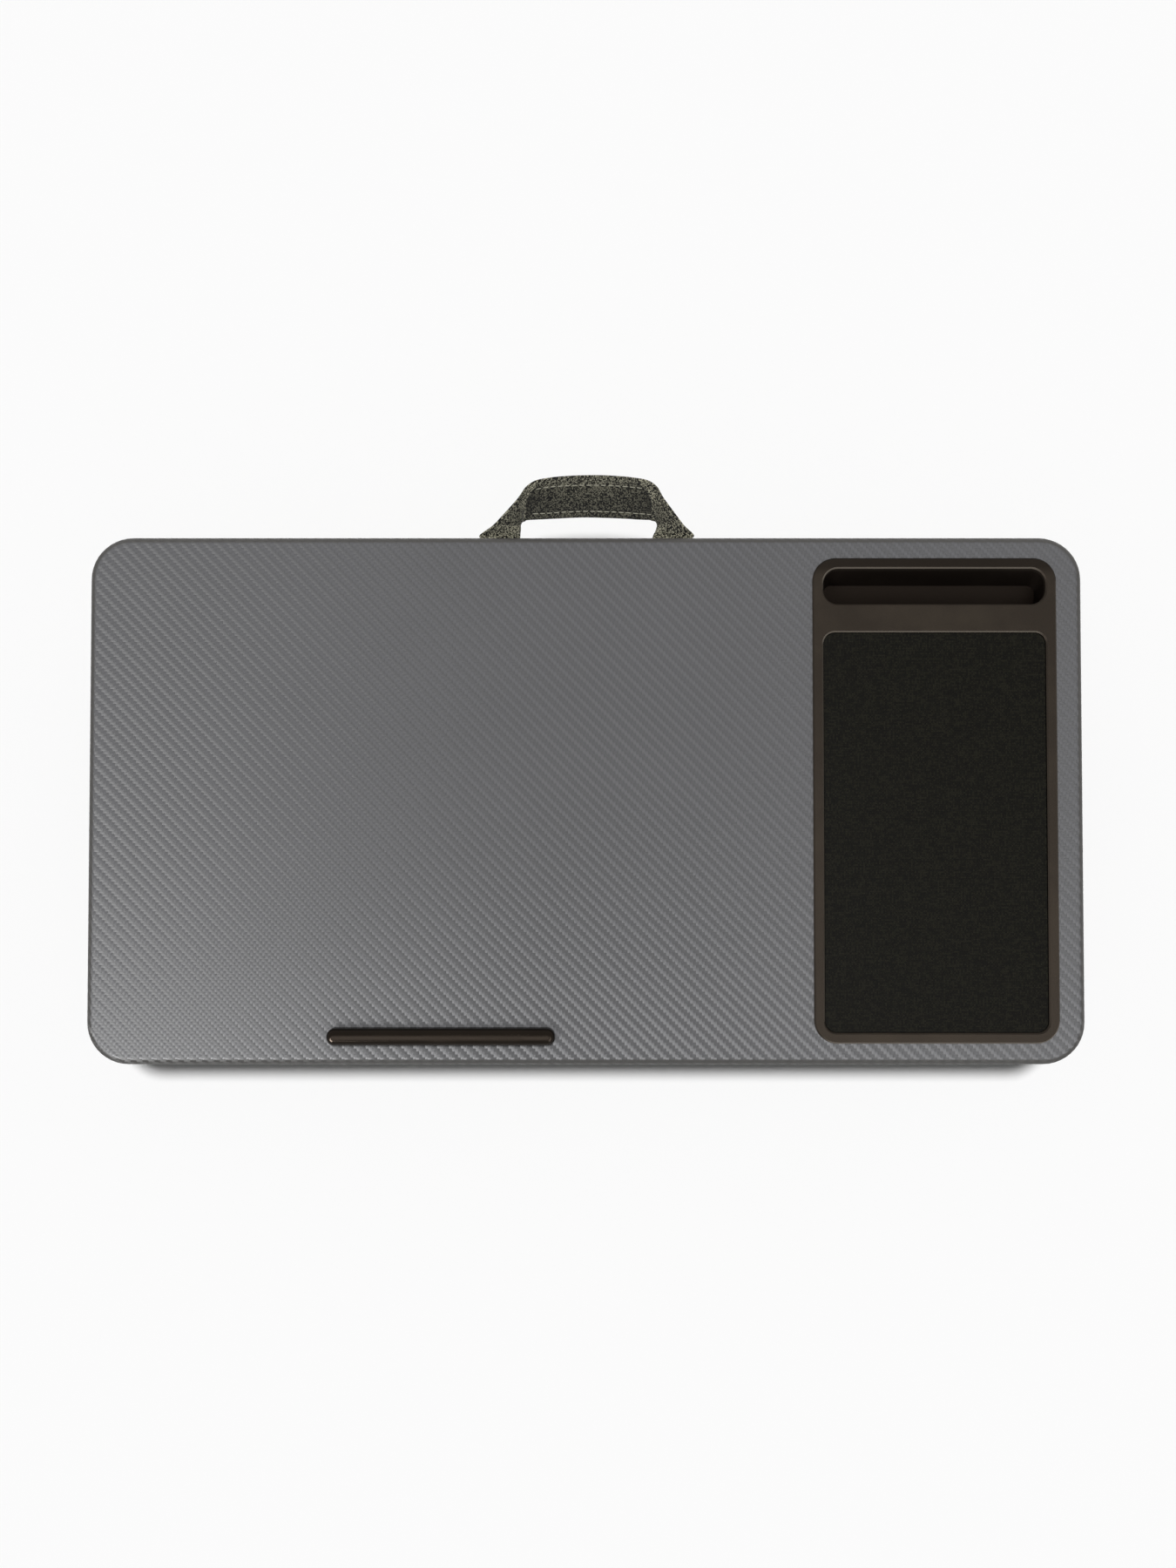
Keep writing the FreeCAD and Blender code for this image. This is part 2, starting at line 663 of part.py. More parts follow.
def slot_sections(body, name, wall):
    """Outlines of the slot, or with a wall of the trough round it: wide mouth above, narrow floor below."""
    mouth = slot_mouth(body, f"{name}_mouth", wall, "sizes.rim_height - sizes.rim_chamfer")
    floor_y = f"{SLOT_FRONT_Y} + sizes.slot_floor / 2"
    floor = flat_sketch(body, f"{name}_floor", y=floor_y, z=f"sizes.rim_height - sizes.slot_drop - {wall}")
    length = f"({SLOT_FLOOR_LENGTH} + 2 * {wall})"
    depth = f"(sizes.slot_floor + 2 * {wall})"
    rounded_rectangle(floor, length, depth, f"(sizes.slot_floor_corner + {wall})")
    return [mouth, floor]


def tray_ribs(body):
    """Ribs under the tray's floor, front to back and across."""
    drop = f"{PLATE_TO_FILM} + {TUB_BOTTOM} - sizes.rib_clearance"
    span_x = f"({RECESS_WIDTH} - 2 * sizes.rib_margin)"
    span_y = f"({RECESS_DEPTH} - 2 * sizes.rib_margin)"
    long_rib = flat_sketch(body, "long_rib_outline", x=f"-{span_x} / 2", y=RECESS_Y, z=TUB_BOTTOM)
    rectangle(long_rib, "sizes.rib_thickness", span_y)
    first_long = pad(body, long_rib, "long_rib", drop, downwards=True)
    pattern(body, first_long, long_rib, "H_Axis", span_x, LONG_RIB_COUNT)
    cross_rib = flat_sketch(body, "cross_rib_outline", y=f"{RECESS_Y} - {span_y} / 2", z=TUB_BOTTOM)
    rectangle(cross_rib, span_x, "sizes.rib_thickness")
    first_cross = pad(body, cross_rib, "cross_rib", drop, downwards=True)
    pattern(body, first_cross, cross_rib, "V_Axis", span_y, CROSS_RIB_COUNT)


def make_mouse_pad():
    """Mouse pad: a foam back and a cloth face of the same outline."""
    layers = (
        ("mouse_pad_foam", RECESS_FLOOR, "sizes.pad_foam_thickness"),
        ("mouse_pad_cloth", f"{RECESS_FLOOR} + sizes.pad_foam_thickness", "sizes.pad_cloth_thickness"),
    )
    width = f"({RECESS_WIDTH} - 2 * sizes.pad_clearance)"
    depth = f"({RECESS_DEPTH} - 2 * sizes.pad_clearance)"
    for label, height, thickness in layers:
        body = new_body(f"{label}_body", x=TRAY_X, y=f"{BOARD_Y} + {RECESS_Y}", z=f"{FILM_TOP} + {height}")
        outline = flat_sketch(body, f"{label}_outline")
        rounded_rectangle(outline, width, depth, "(sizes.pad_corner - sizes.pad_clearance)")
        pad(body, outline, f"{label}_sheet", thickness)
        finish(body, label)


def make_laptop_stop(holes):
    """Bar with a rounded top that keeps a laptop from sliding off, and two pegs through the board."""
    body = new_body("laptop_stop_blank", z=FILM_TOP)
    start = "sizes.stop_offset - sizes.stop_length / 2"
    profile = flat_sketch(body, "stop_profile", x=STOP_Y, z=start, role="YZ_Plane")
    dome_profile(profile, "sizes.stop_width", "sizes.stop_side_height", "sizes.stop_height")
    bar = pad(body, profile, "stop_bar", "sizes.stop_length")
    ease(body, "Fillet", bar, "stop_ends", upright_edges(bar), "sizes.stop_corner")
    pegs = flat_sketch(body, "stop_pegs_outline")
    for x, y in stop_screw_places():
        rectangle(pegs, "sizes.peg_length", "sizes.peg_width", x, y)
    pad(body, pegs, "stop_pegs", PLATE_TO_FILM, downwards=True)
    drill(body, holes, "laptop_stop")


def dome_profile(sketch, width, side_height, height):
    """Profile that stands on the sketch's x axis: upright sides under one arc."""
    half = value(width) / 2
    side = value(side_height)
    crown = f"({height} - {side_height})"
    radius = f"(({width} / 2)^2 / {crown} + {crown}) / 2"
    centre = value(height) - value(radius)
    first = math.atan2(side - centre, half)
    bottom = add_line(sketch, (-half, 0), (half, 0))
    right = add_line(sketch, (half, 0), (half, side))
    top = add_arc(sketch, (0, centre), value(radius), first, math.pi - first)
    left = add_line(sketch, (-half, side), (-half, 0))
    sides = (bottom, right, top, left)
    for number, line in enumerate(sides):
        join(sketch, "Coincident", line, 2, sides[(number + 1) % 4], 1)
    bind_point(sketch, bottom, 1, f"-{width} / 2", "0")
    bind_point(sketch, right, 1, f"{width} / 2", "0")
    bind_point(sketch, top, 1, f"{width} / 2", side_height)
    bind_point(sketch, left, 1, f"-{width} / 2", side_height)
    bind(sketch, "Radius", top, radius)


# The cushions


def cushion_form(body, name):
    """Bolster form: drawn-in outlines stacked from the resting face to the plate."""
    sections = []
    for number, (height_share, bulge_share) in enumerate(CUSHION_LEVEL_SHARES):
        section = flat_sketch(body, f"{name}_level_{number}", z=f"{height_share} * sizes.cushion_height")
        setback = f"({bulge_share} * sizes.cushion_bulge)"
        length = f"({CUSHION_LENGTH} - 2 * {setback})"
        depth = f"({CUSHION_DEPTH} - 2 * {setback})"
        pillow_outline(section, length, depth, f"({CUSHION_CORNER} - {setback})")
        sections.append(section)
    loft(body, "Additive", name, sections)


def stuffing_form(body, kind, name, inset):
    """Stuffing, or the room for it: plain round-cornered outlines inside the bolster form."""
    sections = []
    for number in STUFFING_LEVELS:
        height_share, bulge_share = CUSHION_LEVEL_SHARES[number]
        height = f"{inset} + {height_share} * (sizes.cushion_height - 2 * {inset})"
        section = flat_sketch(body, f"{name}_level_{number}", z=height)
        setback = f"({inset} + {bulge_share} * sizes.cushion_bulge)"
        length = f"({CUSHION_LENGTH} - 2 * ({setback} + sizes.cushion_short_draw))"
        depth = f"({CUSHION_DEPTH} - 2 * ({setback} + sizes.cushion_long_draw))"
        rounded_rectangle(section, length, depth, f"({CUSHION_CORNER} - {setback})")
        sections.append(section)
    loft(body, kind, name, sections)


def make_cushions():
    """Two bolsters, each a sewn cover round a stuffing."""
    for side, sign in (("front", -1), ("rear", 1)):
        across = f"{BOARD_Y} + {sign} * (sizes.cushion_channel + {CUSHION_DEPTH}) / 2"
        cover = new_body(f"{side}_cover_body", y=across)
        cushion_form(cover, f"{side}_cover_form")
        stuffing_form(cover, "Subtractive", f"{side}_cover_room", "sizes.cover_thickness")
        finish(cover, f"{side}_cushion_cover")
        fill = new_body(f"{side}_fill_body", y=across)
        fill_inset = "(sizes.cover_thickness + sizes.fill_clearance)"
        stuffing_form(fill, "Additive", f"{side}_fill_form", fill_inset)
        finish(fill, f"{side}_cushion_fill")


# The carry strap


def make_handle_tabs(holes):
    """The strap's two flat ends, clamped between the plate and the core."""
    for side, sign in (("left", -1), ("right", 1)):
        floor = f"{PLATE_TOP} - sizes.strap_edge_thickness"
        body = new_body(f"tab_{side}_blank", x=f"{sign} * {TAB_X}", z=floor)
        outline = flat_sketch(body, f"tab_{side}_outline")
        rectangle(outline, TAB_WIDTH, "sizes.tab_length", y=f"{TAB_REAR_Y} - sizes.tab_length / 2")
        pad(body, outline, f"tab_{side}", "sizes.strap_edge_thickness")
        drill(body, holes, f"handle_tab_{side}")


def strap_stations():
    """Outer and inner edge points of the strap from its left root to its right one, from the hinge line."""
    spans = (value("sizes.handle_outer_span") / 2, value("sizes.handle_inner_span") / 2)
    reach = value("sizes.handle_reach")
    rise = value("sizes.handle_rise")
    half = []
    for edges in STRAP_EDGE_SHARES:
        points = []
        for (x_share, y_share, z_share), span in zip(edges, spans):
            points.append(FreeCAD.Vector(-x_share * span, y_share * reach, z_share * rise))
        half.append(points)
    mirrored = [[FreeCAD.Vector(-point.x, point.y, point.z) for point in pair] for pair in half[-2::-1]]
    return half + mirrored


def strap_section(outer, inner, normal, edge_thickness, middle_thickness, margin):
    """Closed section across the strap: thin at both edges, and full between two bevels where padded."""
    across = (outer - inner).normalize()
    bevel = value("sizes.strap_bevel")
    reaches = ((outer, margin), (outer, bevel), (inner, -bevel), (inner, -margin))
    thicknesses = (edge_thickness, middle_thickness, middle_thickness, edge_thickness)
    upper = []
    lower = []
    for (edge, reach), thickness in zip(reaches, thicknesses):
        upper.append(edge - across * reach + normal * (thickness / 2))
        lower.append(edge - across * reach - normal * (thickness / 2))
    return Part.makePolygon([*upper, *lower[::-1], upper[0]])


def strap_loft(first, edge_thickness, crown_thickness, margin):
    """Twisting band through the stations, from one station to its mirror image."""
    stations = strap_stations()
    crowns = STRAP_CROWN_SHARES + STRAP_CROWN_SHARES[-2::-1]
    middles = [(outer + inner) / 2 for outer, inner in stations]
    last = len(stations) - 1
    sections = []
    for number in range(first, last - first + 1):
        outer, inner = stations[number]
        if number == 0:
            along = FreeCAD.Vector(0, 1, 0)
        elif number == last:
            along = FreeCAD.Vector(0, -1, 0)
        else:
            along = middles[number + 1] - middles[number - 1]
        normal = (outer - inner).cross(along).normalize()
        middle = edge_thickness + crowns[number] * (crown_thickness - edge_thickness)
        sections.append(strap_section(outer, inner, normal, edge_thickness, middle, margin))
    return Part.makeLoft(sections, True, True)


def finish_strap_piece(shape, label):
    """Put a shape of the strap on the hinge line and finish it."""
    feature = doc.addObject("Part::Feature", f"{label}_shape")
    feature.Shape = shape
    place(feature, "0", f"{BOARD_Y} + {HINGE_Y}", HINGE_HEIGHT)
    finish(feature, label)


def make_handle_strap():
    """Carry strap: a fabric sleeve with round roots on the hinge line, and the padding in its grip."""
    edge = value("sizes.strap_edge_thickness")
    crown = value("sizes.strap_crown_thickness")
    margin = value("sizes.strap_seam_margin")
    foam = value("sizes.padding_thickness")
    clearance = value("sizes.padding_clearance")
    pocket_height = foam + 2 * clearance
    root_width = value(TAB_WIDTH)
    sleeve = strap_loft(0, edge, crown, 0)
    for sign in (-1, 1):
        start = FreeCAD.Vector(sign * value(TAB_X) - root_width / 2, 0, 0)
        sleeve = sleeve.fuse(Part.makeCylinder(edge / 2, root_width, start, FreeCAD.Vector(1, 0, 0)))
    room = strap_loft(PADDING_FIRST_STATION, pocket_height, pocket_height, margin)
    finish_strap_piece(sleeve.cut(room), "handle_strap")
    padding = strap_loft(PADDING_FIRST_STATION, foam, foam, margin + clearance)
    finish_strap_piece(padding, "handle_padding")


# The whole part


def check_model():
    """Stop if any object failed, a cut removed nothing or a sub-part is not a sound solid."""
    for thing in doc.Objects:
        if {"Invalid", "Error"} & set(thing.State):
            raise RuntimeError(f"{thing.Label} failed: {thing.State}")
        if thing.TypeId in ("PartDesign::Pocket", "PartDesign::SubtractiveLoft"):
            if thing.Shape.Volume >= thing.BaseFeature.Shape.Volume:
                raise RuntimeError(f"{thing.Label} cuts nothing")
    for part in sub_parts:
        if part.Shape.isNull() or not part.Shape.isValid() or not part.Shape.Solids:
            raise RuntimeError(f"{part.Label} is not a sound solid")


screw_holes = make_screws()
make_top_panel(screw_holes)
make_carbon_film()
make_bottom_plate(screw_holes)
make_mouse_tray(screw_holes)
make_mouse_pad()
make_laptop_stop(screw_holes)
make_cushions()
make_handle_tabs(screw_holes)
make_handle_strap()
doc.recompute()
check_model()
os.makedirs("parts", exist_ok=True)
for sub_part in sub_parts:
    sub_part.Shape.exportStep(f"parts/{sub_part.Label}.step")
    print(sub_part.Label, len(sub_part.Shape.Solids), round(sub_part.Shape.Volume), sub_part.Shape.BoundBox)
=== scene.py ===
"""Looks of a lap tray with two bolster cushions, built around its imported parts."""

import json
import logging
import math
from collections.abc import Callable, Iterable, Iterator
from dataclasses import dataclass, field
from enum import Enum
from functools import cached_property, partial
from typing import NamedTuple

import bmesh
import bpy
from mathutils import Matrix, Vector, noise
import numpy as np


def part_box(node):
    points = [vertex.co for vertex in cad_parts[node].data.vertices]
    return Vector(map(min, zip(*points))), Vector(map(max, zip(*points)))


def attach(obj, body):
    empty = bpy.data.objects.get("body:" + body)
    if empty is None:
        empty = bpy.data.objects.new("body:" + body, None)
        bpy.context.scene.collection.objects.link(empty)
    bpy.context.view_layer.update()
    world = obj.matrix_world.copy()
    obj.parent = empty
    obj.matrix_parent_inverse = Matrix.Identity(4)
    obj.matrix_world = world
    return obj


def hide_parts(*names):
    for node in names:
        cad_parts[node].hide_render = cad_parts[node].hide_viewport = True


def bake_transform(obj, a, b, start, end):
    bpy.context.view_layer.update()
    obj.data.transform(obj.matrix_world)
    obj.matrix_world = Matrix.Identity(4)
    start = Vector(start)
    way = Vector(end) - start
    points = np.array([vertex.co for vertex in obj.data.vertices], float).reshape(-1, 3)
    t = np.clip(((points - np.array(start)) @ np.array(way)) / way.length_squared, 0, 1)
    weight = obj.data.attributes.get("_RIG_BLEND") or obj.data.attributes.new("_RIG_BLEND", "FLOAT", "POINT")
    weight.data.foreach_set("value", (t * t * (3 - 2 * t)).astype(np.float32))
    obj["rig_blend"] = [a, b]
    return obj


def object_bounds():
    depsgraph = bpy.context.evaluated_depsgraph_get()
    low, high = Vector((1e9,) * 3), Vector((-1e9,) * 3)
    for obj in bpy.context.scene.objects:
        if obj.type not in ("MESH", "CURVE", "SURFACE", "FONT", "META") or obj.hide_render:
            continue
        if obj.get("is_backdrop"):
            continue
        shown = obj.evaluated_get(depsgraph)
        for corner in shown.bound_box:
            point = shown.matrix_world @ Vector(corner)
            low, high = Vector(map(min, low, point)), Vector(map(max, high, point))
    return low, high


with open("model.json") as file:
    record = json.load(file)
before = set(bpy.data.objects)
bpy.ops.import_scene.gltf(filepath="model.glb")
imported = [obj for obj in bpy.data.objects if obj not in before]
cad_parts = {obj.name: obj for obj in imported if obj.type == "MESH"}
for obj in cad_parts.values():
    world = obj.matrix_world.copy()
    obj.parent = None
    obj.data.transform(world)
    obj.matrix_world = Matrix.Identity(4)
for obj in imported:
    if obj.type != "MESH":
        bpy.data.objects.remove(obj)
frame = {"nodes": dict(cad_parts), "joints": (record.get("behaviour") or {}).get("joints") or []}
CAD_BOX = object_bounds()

LOG = logging.getLogger("lap_tray")
MM = 0.001
# Places nearer than this, in metres, count as one
SAME = 1e-6
FILM_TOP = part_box("carbon_film")[1].z
HINGE = Vector(frame["joints"][0]["pos_m"])
TRAY_BODY = "tray"
HANDLE_BODY = "handle"

# Layers of a mesh that the finishes read
WEAVE_MAP = "weave"
SEAM_MAP = "seams"
# Layer that paints light and shade on cloth, as a brightness where 1 is as woven
PAINTED_SHADING_LAYER = "wear"

# Sharpest turn that is shaded smooth, in degrees, on hard pieces and on cloth
HARD_ANGLE = 35.0
CLOTH_ANGLE = 80.0

# Kinds of shader node that the finishes use again and again
MATH = "ShaderNodeMath"
MIX = "ShaderNodeMix"
NOISE = "ShaderNodeTexNoise"
RANGE = "ShaderNodeMapRange"
SPLIT = "ShaderNodeSeparateXYZ"
JOIN = "ShaderNodeCombineXYZ"
PLACE = "ShaderNodeTexCoord"
MAPPING = "ShaderNodeMapping"
UV_MAP = "ShaderNodeUVMap"
EMISSION = "ShaderNodeEmission"

# Octaves of a noise, from one that is plain to one with fine detail
PLAIN, SOFT, MIXED, FINE = 1.0, 2.0, 3.0, 4.0

Object = bpy.types.Object
Node = bpy.types.Node
Source = Node | bpy.types.NodeSocket | float | tuple
Put = Callable[..., Node]
Chooser = Callable[..., bool]


def linear(colour: str) -> tuple[float, float, float, float]:
    """Turn an sRGB hex colour into a linear one.

    Args:
        colour: Six hex digits after a hash sign.

    Returns:
        Linear red, green and blue, and an alpha of 1.
    """
    shares = [int(colour[place:place + 2], 16) / 255 for place in (1, 3, 5)]
    levels = [s / 12.92 if s <= 0.04045 else ((s + 0.055) / 1.055) ** 2.4 for s in shares]
    return (*levels, 1.0)


def feed(tree: bpy.types.NodeTree, entry: bpy.types.NodeSocket, source: Source) -> None:
    """Set an input of a node, or link it.

    Args:
        tree: Node tree of the input.
        entry: The input.
        source: Its value, or the socket or node that gives it.
    """
    if isinstance(source, Node):
        source = next(output for output in source.outputs if output.enabled)
    if isinstance(source, bpy.types.NodeSocket):
        tree.links.new(source, entry)
    else:
        entry.default_value = source


def add_node(
    tree: bpy.types.NodeTree, kind: str, *sources: Source, named: dict[str, Source] | None = None, **settings
) -> Node:
    """Add a shader node, set its options and feed its inputs.

    Args:
        tree: Node tree that gets the node.
        kind: Blender's name for the node.
        *sources: What feeds the inputs in use, in their order.
        named: What feeds inputs that are given by name.
        **settings: Options of the node.

    Returns:
        The new node.
    """
    node = tree.nodes.new(kind)
    for name, setting in settings.items():
        setattr(node, name, setting)
    in_use = [entry for entry in node.inputs if entry.enabled]
    for entry, source in zip(in_use, sources):
        feed(tree, entry, source)
    for name, source in (named or {}).items():
        feed(tree, node.inputs[name], source)
    return node


# Finishes


@dataclass(frozen=True)
class Pattern:
    """What a finish draws on its surface.

    Attributes:
        colour: Node that gives the colour.
        height: Node that gives the relief, as a share of its full height.
        strength: How much of the relief the light shows.
        links: What feeds further inputs of the shader, by their names.
    """

    colour: Node
    height: Node
    strength: Source
    links: dict[str, Source] = field(default_factory=dict)


@dataclass(frozen=True)
class Finish:
    """Surface of one real material.

    Attributes:
        name: Common name of the material and how its surface was made.
        roughness: Mean roughness.
        ior: Index of refraction.
        specular: Level of the reflection, 0.5 for a bare surface.
        tint: Tint of the reflection.
        sheen: Weight of the fuzz on cloth.
        metallic: 1 for metal.
        stroke: How far a highlight is drawn out in one direction.
        relief: Full height of the relief in millimetres.
    """

    name: str
    roughness: float
    ior: float = 1.5
    specular: float = 0.5
    tint: str = "#ffffff"
    sheen: float = 0.0
    metallic: float = 0.0
    stroke: float = 0.0
    relief: float = 0.1

    def material(self) -> bpy.types.Material:
        """Make the material, or fetch it if an earlier piece has it.

        Returns:
            The material, with its pattern linked to its shader.
        """
        made = bpy.data.materials.get(self.name)
        if made:
            return made
        made = bpy.data.materials.new(self.name)
        made.use_nodes = True
        tree = made.node_tree
        put = partial(add_node, tree)
        drawn = self.pattern(put)
        bump = {"Height": drawn.height, "Distance": self.relief * MM, "Strength": drawn.strength}
        shader_inputs = (
            ("Roughness", self.roughness),
            ("IOR", self.ior),
            ("Specular IOR Level", self.specular),
            ("Specular Tint", linear(self.tint)),
            ("Sheen Weight", self.sheen),
            ("Metallic", self.metallic),
            ("Anisotropic", self.stroke),
            ("Base Color", drawn.colour),
            ("Normal", put("ShaderNodeBump", named=bump)),
            *drawn.links.items(),
        )
        for name, source in shader_inputs:
            feed(tree, tree.nodes["Principled BSDF"].inputs[name], source)
        return made

    def pattern(self, put: Put) -> Pattern:
        """Draw the colour, roughness and relief; each kind of finish has its own."""
        raise NotImplementedError


class Weave(NamedTuple):
    """Nodes of a weave.

    Attributes:
        column: Number of the thread that runs along.
        row: Number of the thread that runs across.
        over: 1 where the thread that runs along lies on top.
        bow: How the thread on top bows over those below it, from 0 to 1.
        height: Height of the round thread on top, from 0 to 1.
    """

    column: Node
    row: Node
    over: Node
    bow: Node
    height: Node


def weave(put: Put, across: Source, along: Source, crossings: int) -> Weave:
    """Weave two sets of threads by the column and the row that a point lies in.

    Args:
        put: Adds a node to the material.
        across: Place of the point across the threads that run along, in thread widths.
        along: Its place along them.
        crossings: How many threads each thread passes over before it dives.

    Returns:
        The nodes of the weave.
    """
    column = put(MATH, across, operation="FLOOR")
    row = put(MATH, along, operation="FLOOR")
    both = put(MATH, column, row, operation="ADD")
    step = put(MATH, both, 2.0 * crossings, operation="FLOORED_MODULO")
    over = put(MATH, step, crossings - 0.5, operation="GREATER_THAN")
    in_column = put(MATH, across, operation="FRACT")
    in_row = put(MATH, along, operation="FRACT")
    side = put(MIX, over, in_row, in_column)
    run = put(MIX, over, in_column, in_row)
    passed = put(MATH, step, float(crossings), operation="FLOORED_MODULO")
    length = put(MATH, passed, run, operation="ADD")
    bow_turn = put(MATH, length, math.pi / crossings, operation="MULTIPLY")
    side_turn = put(MATH, side, math.pi, operation="MULTIPLY")
    bow = put(MATH, bow_turn, operation="SINE")
    round_side = put(MATH, side_turn, operation="SINE")
    return Weave(column, row, over, bow, put(MATH, round_side, bow, operation="MULTIPLY"))


@dataclass(frozen=True)
class TwillFilm(Finish):
    """Embossed vinyl film that imitates a two-by-two twill of flat tows.

    The eye sees rows of short upright dashes that step down to the right, a little lighter than the
    level tows between them. Over the edge round-over the twill fades into a darker, browner band of painted
    shade.

    Attributes:
        upright: Colour of the upright tows.
        level: Colour of the level tows.
        edge_painted_shade: Darker, browner colour painted as shade on the edge round-over, into which the
            twill fades.
        tow: Width of a tow in millimetres.
        crossings: How many tows each tow passes over.
        clouds: Soft clouds on a metre.
        cloudiness: How much the clouds change the shade.
    """

    upright: str = "#616163"
    level: str = "#4c4c4d"
    edge_painted_shade: str = "#403e3b"
    tow: float = 1.68
    relief: float = 0.1
    stroke: float = 0.8
    crossings: int = 2
    clouds: float = 9.0
    cloudiness: float = 0.3

    # Lightness of an upright tow at its ends, what its bow adds, and what a level tow's bow adds
    UPRIGHT_END = 0.4
    UPRIGHT_BOW = 0.6
    LEVEL_BOW = 0.3
    # Upright share of the normal where the edge band begins and where it is full, and how far its painted
    # shade shows; the twill fades into that shade and the film is embossed less firmly there
    EDGE_SHADE_FROM = 0.997
    EDGE_SHADE_TO = 0.93
    EDGE_SHADE_SHARE = 0.85
    # How much smoother the lightest tow is than the darkest
    GLOSS_SWING = 0.1
    # Grains on a tow's width and their height, and how firmly the flat film is embossed
    GRAINS = 3.0
    GRAIN_HEIGHT = 0.25
    FIRMNESS = 0.8
    QUARTER_TURN = 0.25

    def pattern(self, put: Put) -> Pattern:
        """Weave the tows by their column and row, and wrap them down the edge.

        Args:
            put: Adds a node to the material.

        Returns:
            The pattern.
        """
        unit = self.tow * MM
        place = put(PLACE)
        point = put(MAPPING, named={"Vector": place.outputs["Object"], "Scale": (1 / unit,) * 3})
        spot = put(SPLIT, point)
        facing = put(SPLIT, place.outputs["Normal"])
        drop = put(MATH, FILM_TOP / unit, spot.outputs["Z"], operation="SUBTRACT")
        across, along = (
            put(MATH, facing.outputs[axis], drop, spot.outputs[axis], operation="MULTIPLY_ADD")
            for axis in "XY"
        )
        # The level tows are the threads that run along here, so over is 1 where a level tow lies on top
        tows = weave(put, along, across, self.crossings)
        light = put(MATH, tows.bow, self.UPRIGHT_BOW, self.UPRIGHT_END, operation="MULTIPLY_ADD")
        dark = put(MATH, tows.bow, self.LEVEL_BOW, operation="MULTIPLY")
        shade = put(MIX, tows.over, light, dark)
        cloud = put(NOISE, place.outputs["Object"], self.clouds, MIXED)
        cloudy = put(MATH, cloud, self.cloudiness, -self.cloudiness / 2, operation="MULTIPLY_ADD")
        mottled = put(MATH, shade, cloudy, operation="ADD", use_clamp=True)
        tone = put(MIX, mottled, linear(self.level), linear(self.upright), data_type="RGBA")
        # Painted shade: a darker, browner band on the edge round-over, into which the twill fades
        edge_fade_and_shade = put(RANGE, facing.outputs["Z"], self.EDGE_SHADE_FROM, self.EDGE_SHADE_TO, 0.0, self.EDGE_SHADE_SHARE)
        colour = put(MIX, edge_fade_and_shade, tone, linear(self.edge_painted_shade), data_type="RGBA")
        mean = self.roughness + self.GLOSS_SWING / 2
        grain = put(NOISE, point, self.GRAINS, SOFT)
        height = put(MATH, grain, self.GRAIN_HEIGHT, tows.height, operation="MULTIPLY_ADD")
        firm = put(MATH, edge_fade_and_shade, -self.FIRMNESS, self.FIRMNESS, operation="MULTIPLY_ADD")
        # A highlight is drawn out across each tow, so rows of one direction light up where the other dims
        links = {
            "Roughness": put(MATH, shade, -self.GLOSS_SWING, mean, operation="MULTIPLY_ADD"),
            "Anisotropic Rotation": put(MATH, tows.over, self.QUARTER_TURN, operation="MULTIPLY"),
            "Tangent": put(JOIN, 1.0),
        }
        return Pattern(colour, height, firm, links)


